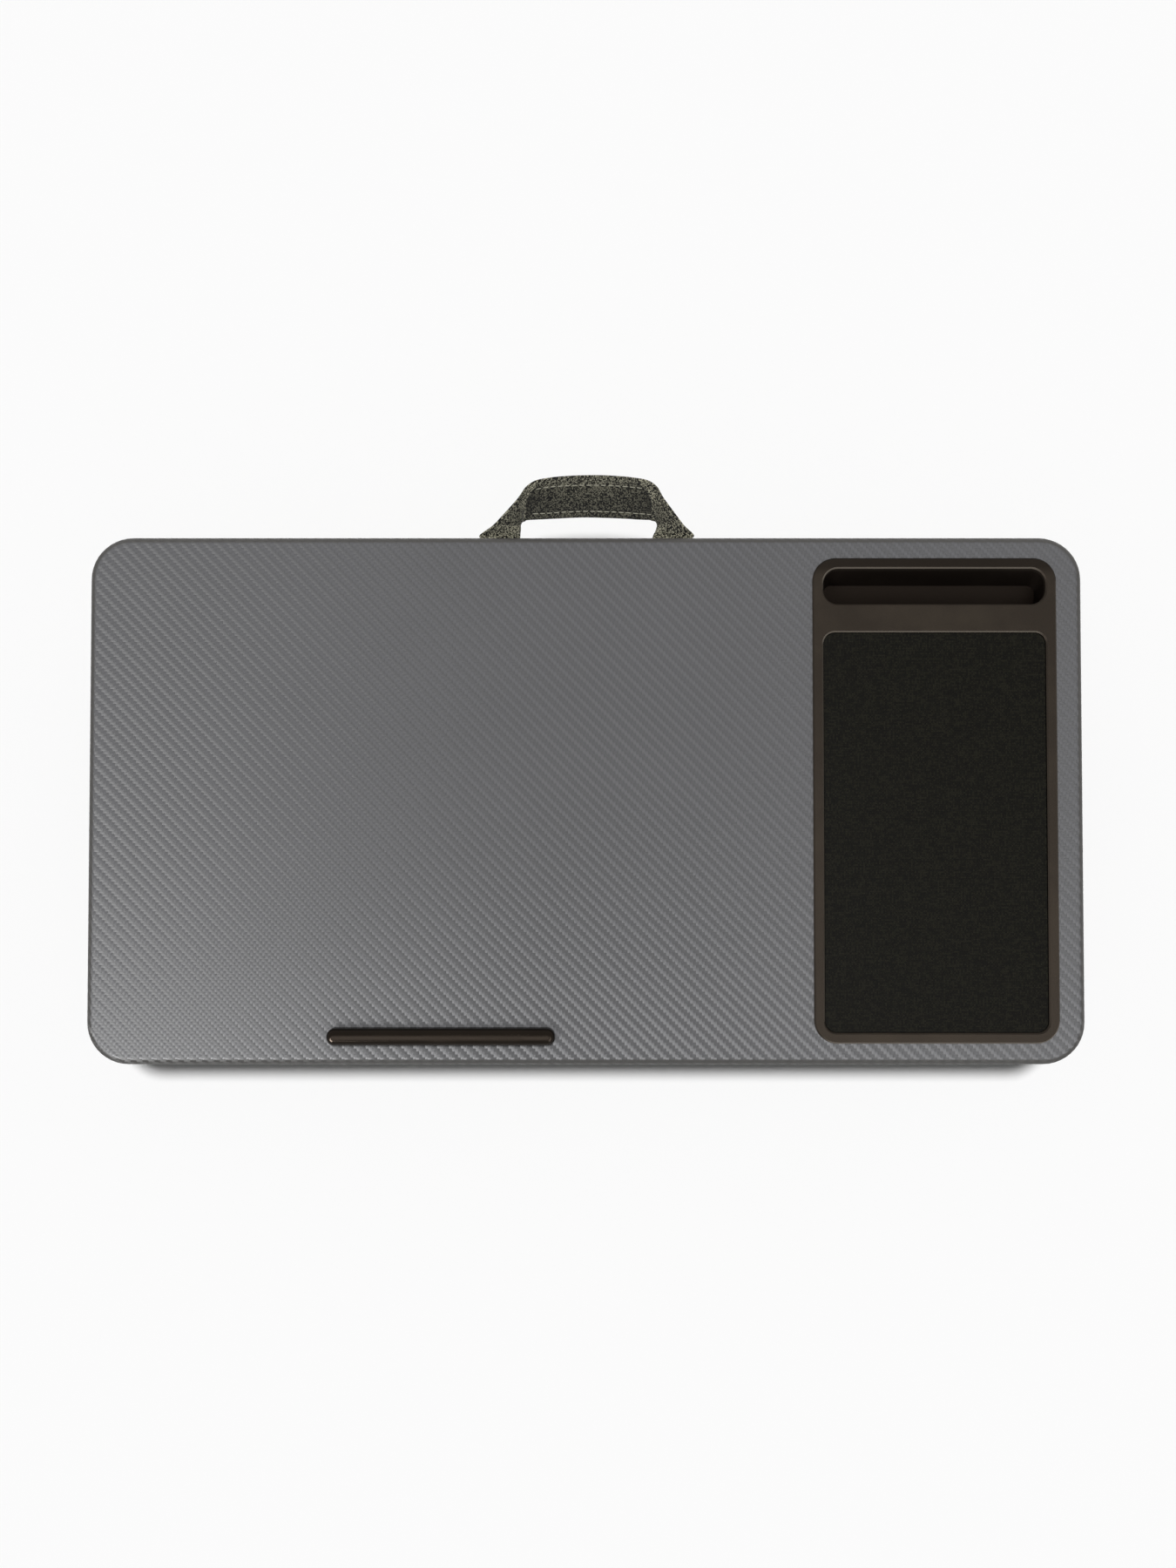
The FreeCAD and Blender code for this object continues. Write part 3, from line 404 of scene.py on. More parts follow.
@dataclass(frozen=True)
class MouldedPlastic(Finish):
    """Injection-moulded plastic with the fine pitted skin of a spark-eroded mould.

    Attributes:
        colour: Colour of the plastic.
        scuffed: Colour of faint rubbed patches.
        deep_painted_shade: Near-black colour painted as shade deep inside the piece.
        painted_shade_height: Height in metres below which that shade is painted, or None.
        painted_highlight: Colour painted as a highlight on narrow slopes that face the front and right, or
            None.
        rear_painted_shade: Darker colour painted as shade on the rear end of the piece.
        rear_shade_from: Place along Y in metres behind which that shade is painted, or None.
        grain: Width of a pit in millimetres, drawn coarser than it is so that it shows.
        patches: Rubbed patches on a metre.
    """

    colour: str = "#1f1e1c"
    scuffed: str = "#2e2c29"
    deep_painted_shade: str = "#050302"
    painted_shade_height: float | None = None
    painted_highlight: str | None = None
    rear_painted_shade: str = "#14110e"
    rear_shade_from: float | None = None
    grain: float = 0.9
    patches: float = 28.0
    relief: float = 0.05

    # Noise levels between which the skin goes from bare to rubbed, and how much the pits lighten it
    PATCH_FROM = 0.45
    PATCH_TO = 0.75
    PIT_LIGHT = 0.5
    # How much smoother than the mean the bare skin is, and how much rougher a rubbed patch is than that
    SKIN_GLOSS = 0.04
    PATCH_DULL = 0.12
    PIT_STRENGTH = 0.7
    # How far before its line the painted rear shade begins to show
    FADE = 4 * MM
    # How much a right edge counts beside a front one, and the shares of the normal towards them between
    # which the painted highlight shows
    SIDE_SHARE = 0.45
    FRONT_FROM = 0.25
    FRONT_TO = 0.6
    # Upright shares of the normal between which a slope begins to get the painted highlight
    SLOPE_FROM = 0.58
    SLOPE_TO = 0.66

    def pattern(self, put: Put) -> Pattern:
        """Pit the skin, rub it a little in large soft patches, and add the painted shade and painted
        highlight that the piece has.

        Args:
            put: Adds a node to the material.

        Returns:
            The pattern.
        """
        place = put(PLACE)
        pits = put(NOISE, place.outputs["Object"], 1 / (self.grain * MM), SOFT)
        patches = put(NOISE, place.outputs["Object"], self.patches, FINE)
        rub = put(RANGE, patches, self.PATCH_FROM, self.PATCH_TO)
        speck = put(MATH, pits, self.PIT_LIGHT, rub, operation="MULTIPLY_ADD", use_clamp=True)
        tone = put(MIX, speck, linear(self.colour), linear(self.scuffed), data_type="RGBA")
        for mask, colour in self.tints(put, place):
            tone = put(MIX, mask, tone, linear(colour), data_type="RGBA")
        gloss = put(MATH, rub, self.PATCH_DULL, self.roughness - self.SKIN_GLOSS, operation="MULTIPLY_ADD")
        return Pattern(tone, pits, self.PIT_STRENGTH, {"Roughness": gloss})

    def tints(self, put: Put, place: Node) -> Iterator[tuple[Node, str]]:
        """Find where the skin has another colour.

        Args:
            put: Adds a node to the material.
            place: Node that gives the place and the normal.

        Returns:
            For each such colour, the node that says where it shows, and the colour.
        """
        spot = put(SPLIT, place.outputs["Object"])
        facing = put(SPLIT, place.outputs["Normal"])
        # Painted shade on the rear end
        if self.rear_shade_from is not None:
            yield put(RANGE, spot.outputs["Y"], self.rear_shade_from - self.FADE, self.rear_shade_from + MM), self.rear_painted_shade
        # Near-black painted shade deep inside, below a height
        if self.painted_shade_height is not None:
            yield put(RANGE, spot.outputs["Z"], self.painted_shade_height, self.painted_shade_height - MM), self.deep_painted_shade
        # Painted highlight on narrow slopes that face the front and right
        if self.painted_highlight:
            aside = put(MATH, facing.outputs["X"], self.SIDE_SHARE, operation="MULTIPLY")
            toward = put(MATH, aside, facing.outputs["Y"], operation="SUBTRACT")
            near = put(RANGE, toward, self.FRONT_FROM, self.FRONT_TO)
            slope = put(RANGE, facing.outputs["Z"], self.SLOPE_FROM, self.SLOPE_TO)
            yield put(MATH, near, slope, operation="MULTIPLY"), self.painted_highlight


@dataclass(frozen=True)
class WovenCloth(Finish):
    """Plain-woven cloth of heathered yarn.

    Every yarn runs from dark to light along its length, so the crossings look like salt and pepper.

    Attributes:
        dark: Colour of the darkest fibres.
        middle: Colour between.
        light: Colour of the lightest fibres.
        pitch: Spacing of the yarns in millimetres, drawn coarser than it is so that it shows.
        fleck: Length of a light or dark stretch of yarn, in yarn spacings.
        mapped: Whether the weave follows the piece's own map, as on a curved piece.
        spread: How far the flecks run from dark to middle, and on to light; less is sharper.
        has_painted_shading: Whether the piece has a layer of painted light and shade that says how bright its
            cloth is, 1 as woven.
        seam: Colour of a narrow light line along a seam, or None.
        seam_width: Half the width of that edge in millimetres.
    """

    dark: str = "#262823"
    middle: str = "#6a6d66"
    light: str = "#b4b7ae"
    pitch: float = 1.3
    fleck: float = 4.0
    relief: float = 0.35
    mapped: bool = True
    spread: float = 0.11
    has_painted_shading: bool = False
    seam: str | None = None
    seam_width: float = 0.8

    # Neighbouring yarns read the noise this far apart, so that they are not alike
    APART = 7.31
    # Noise level of the middle colour
    MIDDLE = 0.5
    # Brightness in the gaps between the yarns, which lie in shade, and what a yarn's height adds
    GAP_LIGHT = 0.62
    YARN_LIGHT = 0.45
    # Tufts of fuzz on a yarn's width, and their height
    FUZZ = 2.5
    FUZZ_HEIGHT = 0.5
    YARN_STRENGTH = 0.6

    def pattern(self, put: Put) -> Pattern:
        """Weave the yarns by their column and row, each with its own run of flecks.

        Args:
            put: Adds a node to the material.

        Returns:
            The pattern.
        """
        if self.mapped:
            place = put(UV_MAP, uv_map=WEAVE_MAP).outputs["UV"]
        else:
            place = put(PLACE).outputs["Object"]
        point = put(MAPPING, named={"Vector": place, "Scale": (1 / (self.pitch * MM),) * 3})
        spot = put(SPLIT, point)
        yarns = weave(put, spot.outputs["X"], spot.outputs["Y"], 1)
        warp_run = put(MATH, spot.outputs["Y"], 1 / self.fleck, operation="MULTIPLY")
        weft_run = put(MATH, spot.outputs["X"], 1 / self.fleck, operation="MULTIPLY")
        warp_place = put(MATH, yarns.column, self.APART, operation="MULTIPLY")
        weft_place = put(MATH, yarns.row, self.APART, operation="MULTIPLY")
        warp = put(NOISE, put(JOIN, warp_place, warp_run), 1.0, PLAIN)
        weft = put(NOISE, put(JOIN, weft_run, weft_place, self.APART), 1.0, PLAIN)
        fleck = put(MIX, yarns.over, weft, warp)
        low = put(RANGE, fleck, self.MIDDLE - self.spread, self.MIDDLE)
        high = put(RANGE, fleck, self.MIDDLE, self.MIDDLE + self.spread)
        lower = put(MIX, low, linear(self.dark), linear(self.middle), data_type="RGBA")
        tone = put(MIX, high, lower, linear(self.light), data_type="RGBA")
        heights = (yarns.height, self.YARN_LIGHT, self.GAP_LIGHT)
        lit = put(MATH, *heights, operation="MULTIPLY_ADD", use_clamp=True)
        # Painted light and shade from the piece's layer
        if self.has_painted_shading:
            wear = put("ShaderNodeAttribute", attribute_name=PAINTED_SHADING_LAYER)
            lit = put(MATH, lit, wear.outputs["Fac"], operation="MULTIPLY")
        cloth = put(MIX, 1.0, tone, lit, data_type="RGBA", blend_type="MULTIPLY")
        if self.seam:
            cloth = put(MIX, self.seam_edge(put), cloth, linear(self.seam), data_type="RGBA")
        fuzz = put(NOISE, point, self.FUZZ, MIXED)
        nap = put(MATH, fuzz, self.FUZZ_HEIGHT, yarns.height, operation="MULTIPLY_ADD")
        return Pattern(cloth, nap, self.YARN_STRENGTH)

    def seam_edge(self, put: Put) -> Node:
        """Find a narrow line along the bottom seam, and along the corner seams above it.

        Args:
            put: Adds a node to the material.

        Returns:
            Node that gives 1 on a turned edge.
        """
        off = put(SPLIT, put(UV_MAP, uv_map=SEAM_MAP).outputs["UV"])
        corner = put(MATH, off.outputs["X"], operation="ABSOLUTE")
        bottom = put(MATH, off.outputs["Y"], operation="ABSOLUTE")
        below = put(MATH, off.outputs["Y"], 0.0, operation="LESS_THAN")
        corner_above = put(MATH, corner, below, operation="ADD")
        nearest = put(MATH, corner_above, bottom, operation="MINIMUM")
        return put(RANGE, nearest, self.seam_width * MM, self.seam_width * MM / 2)


@dataclass(frozen=True)
class Speckled(Finish):
    """Surface of fine grains in two tones, such as foam rubber, pressed fibre or dull plating.

    Attributes:
        first: One tone.
        second: The other tone.
        grain: Width of a grain in millimetres.
    """

    first: str = "#1a1a19"
    second: str = "#262625"
    grain: float = 0.8

    # Noise levels of the two tones
    FIRST_AT = 0.35
    SECOND_AT = 0.65
    GRAIN_STRENGTH = 0.6

    def pattern(self, put: Put) -> Pattern:
        """Scatter the grains, in colour and in relief.

        Args:
            put: Adds a node to the material.

        Returns:
            The pattern.
        """
        grains = put(NOISE, put(PLACE).outputs["Object"], 1 / (self.grain * MM), MIXED)
        share = put(RANGE, grains, self.FIRST_AT, self.SECOND_AT)
        tone = put(MIX, share, linear(self.first), linear(self.second), data_type="RGBA")
        return Pattern(tone, grains, self.GRAIN_STRENGTH)


# The board's film: grey vinyl, satin, the light catches the rows of tows
TWILL = TwillFilm("embossed_vinyl_twill_film", roughness=0.46, specular=0.3)
# Depth of the rear end of the tray's rim, which is painted darker as shade
REAR_RIM = 6 * MM
# The tray: warm black ABS with a satin, finely pitted skin
TRAY_PLASTIC = MouldedPlastic(
    "moulded_abs_satin",
    roughness=0.5,
    specular=0.13,
    tint="#ffe7d2",
    colour="#231f1b",
    scuffed="#2e2923",
    # Painted highlight on slopes facing front and right; painted shade deep inside and on the rim's rear end
    painted_highlight="#6f685f",
    painted_shade_height=FILM_TOP,
    rear_shade_from=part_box("mouse_tray")[1].y - REAR_RIM,
)
# The plate below: dull black polypropylene
PLATE_PLASTIC = MouldedPlastic(
    "moulded_polypropylene_matt", roughness=0.6, specular=0.3, colour="#181716", scuffed="#211f1d"
)
# The stop: the same black as the tray but smoother, so that it shows a long highlight
STOP_PLASTIC = MouldedPlastic(
    "moulded_abs_smooth",
    roughness=0.2,
    specular=0.13,
    tint="#ffe7d2",
    colour="#0e0b08",
    scuffed="#130f0b",
    relief=0.01,
)
# The mouse pad: a tight black cloth face, almost even
PAD_CLOTH = WovenCloth(
    "woven_polyester_pad_face",
    roughness=0.85,
    specular=0.08,
    sheen=0.02,
    dark="#0b0a07",
    middle="#11100b",
    light="#1b1a13",
    pitch=1.0,
    relief=0.1,
    mapped=False,
)
# Its back: black foam rubber with open cells at the cut edge
PAD_FOAM = Speckled("foam_rubber_black", roughness=0.9, specular=0.2)
# The bolsters: coarse salt-and-pepper upholstery cloth
BOLSTER_CLOTH = WovenCloth(
    "woven_heather_polyester_grey",
    roughness=0.95,
    specular=0.15,
    sheen=0.15,
    dark="#373833",
    middle="#757670",
    light="#aeafa7",
    pitch=1.1,
    fleck=1.8,
    seam="#aaaba3",
)
# The carry strap: the same kind of cloth, finer, with an olive cast
STRAP_CLOTH = WovenCloth(
    "woven_heather_polyester_olive",
    roughness=0.95,
    specular=0.15,
    sheen=0.1,
    dark="#080806",
    middle="#2c2a23",
    light="#a5a28e",
    pitch=0.65,
    fleck=1.3,
    relief=0.25,
    spread=0.06,
    has_painted_shading=True,
)
# Sewing thread: grey polyester, a little shiny
THREAD = Speckled(
    "spun_polyester_thread", roughness=0.7, specular=0.3, first="#8a8878", second="#a2a090", grain=0.4
)
# The core: medium-density fibreboard, seen only from below beside the plate
CORE = Speckled("fibreboard_sawn", roughness=0.9, specular=0.2, first="#5b4a36", second="#75614a", grain=0.7)
# The screws: steel with a dull black zinc coat
SCREW_STEEL = Speckled(
    "zinc_plated_steel_black", roughness=0.38, metallic=1.0, first="#4a4a4c", second="#5c5c5e"
)


# Modelling by hand


class Element(Enum):
    """What is selected in edit mode, with bmesh's name for its list."""

    EDGE = "edges"
    FACE = "faces"


def activate(piece: Object) -> None:
    """Leave only this piece selected and active."""
    bpy.ops.object.select_all(action="DESELECT")
    piece.select_set(True)
    bpy.context.view_layer.objects.active = piece


def rename(piece: Object, name: str) -> Object:
    """Give a piece and its mesh one name, and hand the piece back."""
    piece.name = name
    piece.data.name = name
    return piece


def add_primitive(add: Callable, name: str, **settings) -> Object:
    """Add a primitive at its size and place.

    Args:
        add: Blender's operator for it.
        name: Name of the new piece.
        **settings: Size and place of the primitive.

    Returns:
        The piece, with its place in its mesh.
    """
    bpy.ops.object.select_all(action="DESELECT")
    add(**settings)
    bpy.ops.object.transform_apply(location=True, rotation=True, scale=True)
    return rename(bpy.context.object, name)


def add_box(name: str, low: Vector, high: Vector) -> Object:
    """Add a cube that is stretched between its lowest and its highest corner."""
    cube = bpy.ops.mesh.primitive_cube_add
    return add_primitive(cube, name, size=1, location=(low + high) / 2, scale=high - low)


def choose(piece: Object, element: Element, chosen: Chooser) -> None:
    """Go into edit mode and select the edges or faces that a test picks.

    Args:
        piece: Piece to edit.
        element: What is selected.
        chosen: Test on an edge or a face.
    """
    activate(piece)
    bpy.ops.object.mode_set(mode="EDIT")
    bpy.ops.mesh.select_mode(type=element.name)
    bpy.ops.mesh.select_all(action="DESELECT")
    shape = bmesh.from_edit_mesh(piece.data)
    for part in getattr(shape, element.value):
        part.select_set(chosen(part))
    bmesh.update_edit_mesh(piece.data)


def upright(edge: bmesh.types.BMEdge) -> bool:
    """Tell whether an edge stands upright."""
    first, second = edge.verts
    return (first.co.xy - second.co.xy).length < SAME


def level_at(height: float) -> Chooser:
    """Make a test for edges that lie at one height."""
    return lambda edge: all(abs(vertex.co.z - height) < SAME for vertex in edge.verts)


def looking(direction: Vector, least: float = 0.9) -> Chooser:
    """Make a test for faces whose normals have at least this share in a direction."""
    return lambda face: face.normal.dot(direction) > least


def bevel_edges(piece: Object, chosen: Chooser, width: float, segments: int) -> None:
    """Round the chosen edges.

    Args:
        piece: Piece to edit.
        chosen: Test on an edge.
        width: How far the round reaches from the edge, in metres.
        segments: Faces across the round.
    """
    choose(piece, Element.EDGE, chosen)
    bpy.ops.mesh.bevel(offset=width, offset_type="OFFSET", segments=segments, affect="EDGES")
    bpy.ops.object.mode_set(mode="OBJECT")


def apply_modifier(piece: Object, kind: str, **settings) -> None:
    """Add a modifier with its settings and apply it.

    Args:
        piece: Piece that gets it.
        kind: Blender's name for the modifier.
        **settings: Options of the modifier.
    """
    activate(piece)
    modifier = piece.modifiers.new(kind.lower(), kind)
    for name, setting in settings.items():
        setattr(modifier, name, setting)
    bpy.ops.object.modifier_apply(modifier=modifier.name)


def join_pieces(name: str, pieces: list[Object]) -> Object:
    """Join pieces into the first of them.

    Args:
        name: Name of the joined piece.
        pieces: What is joined.

    Returns:
        The joined piece.
    """
    activate(pieces[0])
    for piece in pieces:
        piece.select_set(True)
    bpy.ops.object.join()
    return rename(pieces[0], name)


def copy_to(places: Iterable[Matrix], model: Object, name: str) -> Object:
    """Copy a model to many places and join the copies, each made with its own mesh.

    Args:
        places: A matrix for each copy.
        model: What is copied, and then removed.
        name: Name of the joined piece.

    Returns:
        The joined piece.
    """
    copies = []
    for place in places:
        copy = bpy.data.objects.new(f"{model.name}_copy", model.data.copy())
        copy.data.transform(place)
        bpy.context.collection.objects.link(copy)
        copies.append(copy)
    bpy.data.objects.remove(model)
    return join_pieces(name, copies)


def middle_and_half(node: str) -> tuple[Vector, Vector]:
    """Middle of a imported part's box, and half of its length, depth and height."""
    low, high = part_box(node)
    return (low + high) / 2, (high - low) / 2


def finish_piece(
    piece: Object, finish: Finish, body: str | None, angle: float = HARD_ANGLE
) -> None:
    """Shade a piece, give it its finish and say what it rides on.

    Args:
        piece: The finished mesh.
        finish: Its finish.
        body: Body that it rides on, or None where it bends between two.
        angle: Sharpest turn, in degrees, that is shaded smooth.
    """
    activate(piece)
    bpy.ops.object.shade_smooth_by_angle(angle=math.radians(angle))
    piece.data.materials.clear()
    piece.data.materials.append(finish.material())
    if body:
        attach(piece, body)
    LOG.info("%s: %d faces, %s", piece.name, len(piece.data.polygons), finish.name)


def dress_node(name: str, finish: Finish) -> None:
    """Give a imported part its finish."""
    frame["nodes"][name].material_slots[0].material = finish.material()
    LOG.info("%s: packed part, %s", name, finish.name)


# The board with its film and the plate below


@dataclass
class Board:
    """Fibreboard core, the film wrapped over it and the plate screwed below it."""

    def build(self) -> None:
        """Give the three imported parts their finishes."""
        dress_node("top_panel", CORE)
        dress_node("carbon_film", TWILL)
        dress_node("bottom_plate", PLATE_PLASTIC)


# The mouse tray and its pad


@dataclass
class MouseTray:
    """Moulded tray with a phone slot, and the mouse pad in its recess.

    Attributes:
        corner: Corner radius of the pad, in metres.
        edge: Round of the cloth's cut edge.
        corner_segments: Faces round a corner.
        edge_segments: Faces across the cut edge.
    """

    corner: float = 6.2 * MM
    edge: float = 0.35 * MM
    corner_segments: int = 8
    edge_segments: int = 3

    def slab(self, node: str) -> Object:
        """Round-cornered slab that takes a pad part's place, named after it."""
        piece = add_box(f"{node}_slab", *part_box(node))
        bevel_edges(piece, upright, self.corner, self.corner_segments)
        return piece

    def build(self) -> None:
        """Dress the tray, and model the pad's cloth and foam."""
        dress_node("mouse_tray", TRAY_PLASTIC)
        cloth = self.slab("mouse_pad_cloth")
        bevel_edges(cloth, level_at(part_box("mouse_pad_cloth")[1].z), self.edge, self.edge_segments)
        finish_piece(cloth, PAD_CLOTH, TRAY_BODY)
        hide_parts("mouse_pad_cloth")
        foam = self.slab("mouse_pad_foam")
        finish_piece(foam, PAD_FOAM, TRAY_BODY)
        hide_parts("mouse_pad_foam")


# The laptop stop


@dataclass
class LaptopStop:
    """Rounded bar that keeps a laptop from sliding off, with two pegs into the board.

    Attributes:
        end_round: Radius of the ends seen from above, in metres.
        crown: Round along the top edges.
        peg_length: Length of a peg along the bar.
        peg_width: Width of a peg.
        peg_distance: Distance between the pegs.
        segments: Faces across each round.
    """

    end_round: float = 4.5 * MM
    crown: float = 3.4 * MM
    peg_length: float = 10 * MM
    peg_width: float = 6.4 * MM
    peg_distance: float = 90 * MM
    segments: int = 8

    def build(self) -> None:
        """Model the bar and its pegs."""
        low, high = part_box("laptop_stop")
        middle, _ = middle_and_half("laptop_stop")
        bar = add_box("laptop_stop_bar", Vector((low.x, low.y, FILM_TOP)), high)
        bevel_edges(bar, upright, self.end_round, self.segments)
        bevel_edges(bar, level_at(high.z), self.crown, self.segments)
        pieces = [bar]
        for sign in (-1, 1):
            x = middle.x + sign * self.peg_distance / 2
            peg_low = Vector((x - self.peg_length / 2, middle.y - self.peg_width / 2, low.z))
            peg_high = Vector((x + self.peg_length / 2, middle.y + self.peg_width / 2, FILM_TOP))
            pieces.append(add_box("peg", peg_low, peg_high))
        bar = join_pieces("laptop_stop_bar", pieces)
        finish_piece(bar, STOP_PLASTIC, TRAY_BODY)
        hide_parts("laptop_stop")


# The cushions


class Side(Enum):
    """Which of the two bolsters."""

    FRONT = "front"
    REAR = "rear"

    @property
    def cover(self) -> str:
        """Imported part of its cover."""
        return f"{self.value}_cushion_cover"


@dataclass
class Bolsters:
    """Two stuffed bolsters, sewn from a bottom panel and four side panels.

    Attributes:
        swell: How much smaller the form is cut than it is once stuffed, in metres.
        corner: Corner radius seen from above.
        low_round: Round towards the resting face.
        high_round: Round towards the plate.
        segments: Faces across the corners, the low round and the high round.
        voxel: Size of the simulated cloth's faces.
        pressure: Pressure of the stuffing.
        frames: Steps of the simulation.
        most: Furthest that a point may swell.
        long_draw: How far the long sides are drawn in at their middle.
        seam_height: Height of the seam round the bottom panel.
        seam_depth: Depth of a seam.
        seam_width: Half width of a seam.
        pucker: Height of the puckers beside a seam.
        pucker_length: Spacing of the puckers.
        pucker_squeeze: How much closer they lie along a seam than across it.
        pucker_reach: How far they reach from the bottom seam, in half widths of a seam.
        lump: Height of the stuffing's lumps.
        lump_length: Spacing of the lumps.
        flat_panel: Least upright share of the normal of a face that belongs to the bottom or top panel.
    """

    swell: float = 4 * MM
    corner: float = 34 * MM
    low_round: float = 20 * MM
    high_round: float = 9 * MM
    segments: tuple[int, int, int] = (8, 6, 4)
    voxel: float = 4.5 * MM
    pressure: float = 4.0
    frames: int = 20
    most: float = 7 * MM
    long_draw: float = 3 * MM
    seam_height: float = 13 * MM
    seam_depth: float = 1.6 * MM
    seam_width: float = 2.2 * MM
    pucker: float = 0.7 * MM
    pucker_length: float = 17 * MM
    pucker_squeeze: float = 2
    pucker_reach: float = 4
    lump: float = 1.0 * MM
    lump_length: float = 75 * MM
    flat_panel: float = 0.75

    def cut_form(self) -> Object:
        """Model the front bolster before it is stuffed.

        Returns:
            The form, in even small faces.
        """
        low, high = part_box(Side.FRONT.cover)
        inset = Vector((self.swell, self.swell, 0))
        form = add_box("front_bolster", low + inset, high - inset)
        tests = (upright, level_at(low.z), level_at(high.z))
        widths = (self.corner, self.low_round, self.high_round)
        for test, width, segments in zip(tests, widths, self.segments):
            bevel_edges(form, test, width, segments)
        apply_modifier(form, "REMESH", mode="VOXEL", voxel_size=self.voxel)
        return form

    def stuff(self, form: Object) -> None:
        """Blow the form up like a stuffed cover that is held flat against the plate.

        Args:
            form: The form, which is changed.
        """
        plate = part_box(Side.FRONT.cover)[1].z
        # The points of the top face are glued to the plate
        held = form.vertex_groups.new(name="glued")
        start = [vertex.co.copy() for vertex in form.data.vertices]
        held.add([i for i, place in enumerate(start) if place.z > plate - self.voxel / 4], 1.0, "REPLACE")
        cloth = form.modifiers.new("stuffing", "CLOTH")
        cloth.settings.use_pressure = True
        cloth.settings.uniform_pressure_force = self.pressure
        cloth.settings.vertex_group_mass = held.name
        cloth.settings.effector_weights.gravity = 0
        scene = bpy.context.scene
        for step in range(1, self.frames + 1):
            scene.frame_set(step)
        activate(form)
        bpy.ops.object.modifier_apply(modifier=cloth.name)
        scene.frame_set(1)
        for vertex, before in zip(form.data.vertices, start):
            moved = vertex.co - before
            if moved.length > self.most:
                vertex.co = before + moved * (self.most / moved.length)

    def off_seams(self, place: Vector, middle: Vector, half: Vector) -> tuple[float, float]:
        """Tell how far a point lies off the corner seams and the bottom seam.

        Args:
            place: The point.
            middle: Middle of the bolster.
            half: Half of its length, depth and height.

        Returns:
            The two distances, each with a sign for its side of the seam.
        """
        corner_x = abs(place.x - middle.x) - (half.x - self.corner)
        corner_y = abs(place.y - middle.y) - (half.y - self.corner)
        return (corner_x - corner_y) / math.sqrt(2), place.z - self.seam_height

    def map_cloth(self, piece: Object, cover: str) -> None:
        """Lay the weave panel by panel, and write into a second map how far each point lies off the seams.

        Args:
            piece: The bolster.
            cover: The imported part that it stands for.
        """
        middle, half = middle_and_half(cover)
        for name in (WEAVE_MAP, SEAM_MAP):
            piece.data.uv_layers.new(name=name)
        weave_map, seam_map = (piece.data.uv_layers[name].data for name in (WEAVE_MAP, SEAM_MAP))
        for face in piece.data.polygons:
            if abs(face.normal.z) > self.flat_panel:
                axes = (0, 1)
            elif self.off_seams(face.center, middle, half)[0] > 0:
                axes = (1, 2)
            else:
                axes = (0, 2)
            for corner in face.loop_indices:
                place = piece.data.vertices[piece.data.loops[corner].vertex_index].co
                weave_map[corner].uv = (place[axes[0]], place[axes[1]])
                seam_map[corner].uv = self.off_seams(place, middle, half)

    def sew(self, form: Object) -> None:
        """Draw in the sides, sink the seams, pucker the cloth beside them and settle it on the floor.

        Args:
            form: The stuffed form, which is changed.
        """
        low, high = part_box(Side.FRONT.cover)
        middle, half = middle_and_half(Side.FRONT.cover)
        normals = [vertex.normal.copy() for vertex in form.data.vertices]
        for vertex, normal in zip(form.data.vertices, normals):
            place = vertex.co
            reach = min(1.0, abs(place.x - middle.x) / half.x)
            draw = self.long_draw / half.y * (1 - reach * reach)
            corner, bottom = self.off_seams(place, middle, half)
            off = min(abs(corner), bottom) if bottom > 0 else -bottom
            near = math.exp(-((off / self.seam_width) ** 2))
            beside = math.exp(-((bottom / (self.pucker_reach * self.seam_width)) ** 2))
            round_about = (place.x + place.y) / self.pucker_length
            ripple = noise.noise(Vector((round_about * self.pucker_squeeze, place.z / self.pucker_length, 0)))
            lumps = noise.noise(place / self.lump_length)
            sunk = -self.seam_depth * near + self.pucker * beside * ripple + self.lump * lumps
            side = 1 - abs(normal.z)
            place = place + normal * sunk * side
            place.y = middle.y + (place.y - middle.y) * (1 - draw)
            vertex.co = [min(max(place[axis], low[axis]), high[axis]) for axis in range(3)]

    def build(self) -> None:
        """Make the front bolster, and turn a copy of it round for the rear one."""
        form = self.cut_form()
        self.stuff(form)
        apply_modifier(form, "SUBSURF", levels=1, render_levels=1)
        self.sew(form)
        activate(form)
        bpy.ops.object.duplicate()
        copy = rename(bpy.context.object, "rear_bolster")
        front, rear = (middle_and_half(side.cover)[0] for side in Side)
        between = Matrix.Translation(((front + rear) / 2).xy.to_3d())
        copy.matrix_world = between @ Matrix.Rotation(math.pi, 4, "Z") @ between.inverted()
        bpy.ops.object.transform_apply(location=True, rotation=True, scale=True)
        for side, piece in zip(Side, (form, copy)):
            self.map_cloth(piece, side.cover)
            finish_piece(piece, BOLSTER_CLOTH, TRAY_BODY, CLOTH_ANGLE)
            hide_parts(f"{side.value}_cushion_cover", f"{side.value}_cushion_fill")


# The carry strap


class Face(Enum):
    """The two faces of the strap."""

    OVER = -1
    UNDER = 1


@dataclass
class Ring:
    """One cross-section of the strap.

    Attributes:
        outer: Middle of the edge that lies further from the board.
        inner: Middle of the edge that lies nearer to it.
        crown: 1 where the strap is padded, 0 where it is flat.
        along: Length of the strap up to here.
        from_end: Length of the strap to its nearer end.
    """

    outer: Vector
    inner: Vector
    crown: float
    along: float = 0.0
    from_end: float = 0.0

    @property
    def middle(self) -> Vector:
        """Middle of the section."""
        return (self.outer + self.inner) / 2

    @property
    def width(self) -> float:
        """Distance between the edges."""
        return (self.outer - self.inner).length


def curve_point(points: list[Vector], share: float) -> Vector:
    """Point of a smooth curve between the second and the third of four points.

    Args:
        points: Four points in a row.
        share: How far between the middle two, from 0 to 1.

    Returns:
        The point, on a Catmull-Rom curve.
    """
    before, start, end, after = points
    square = share * share
    cube = square * share
    swing = (end - before) * share + (2 * before - 5 * start + 4 * end - after) * square
    return start + (swing + (3 * start - before - 3 * end + after) * cube) / 2


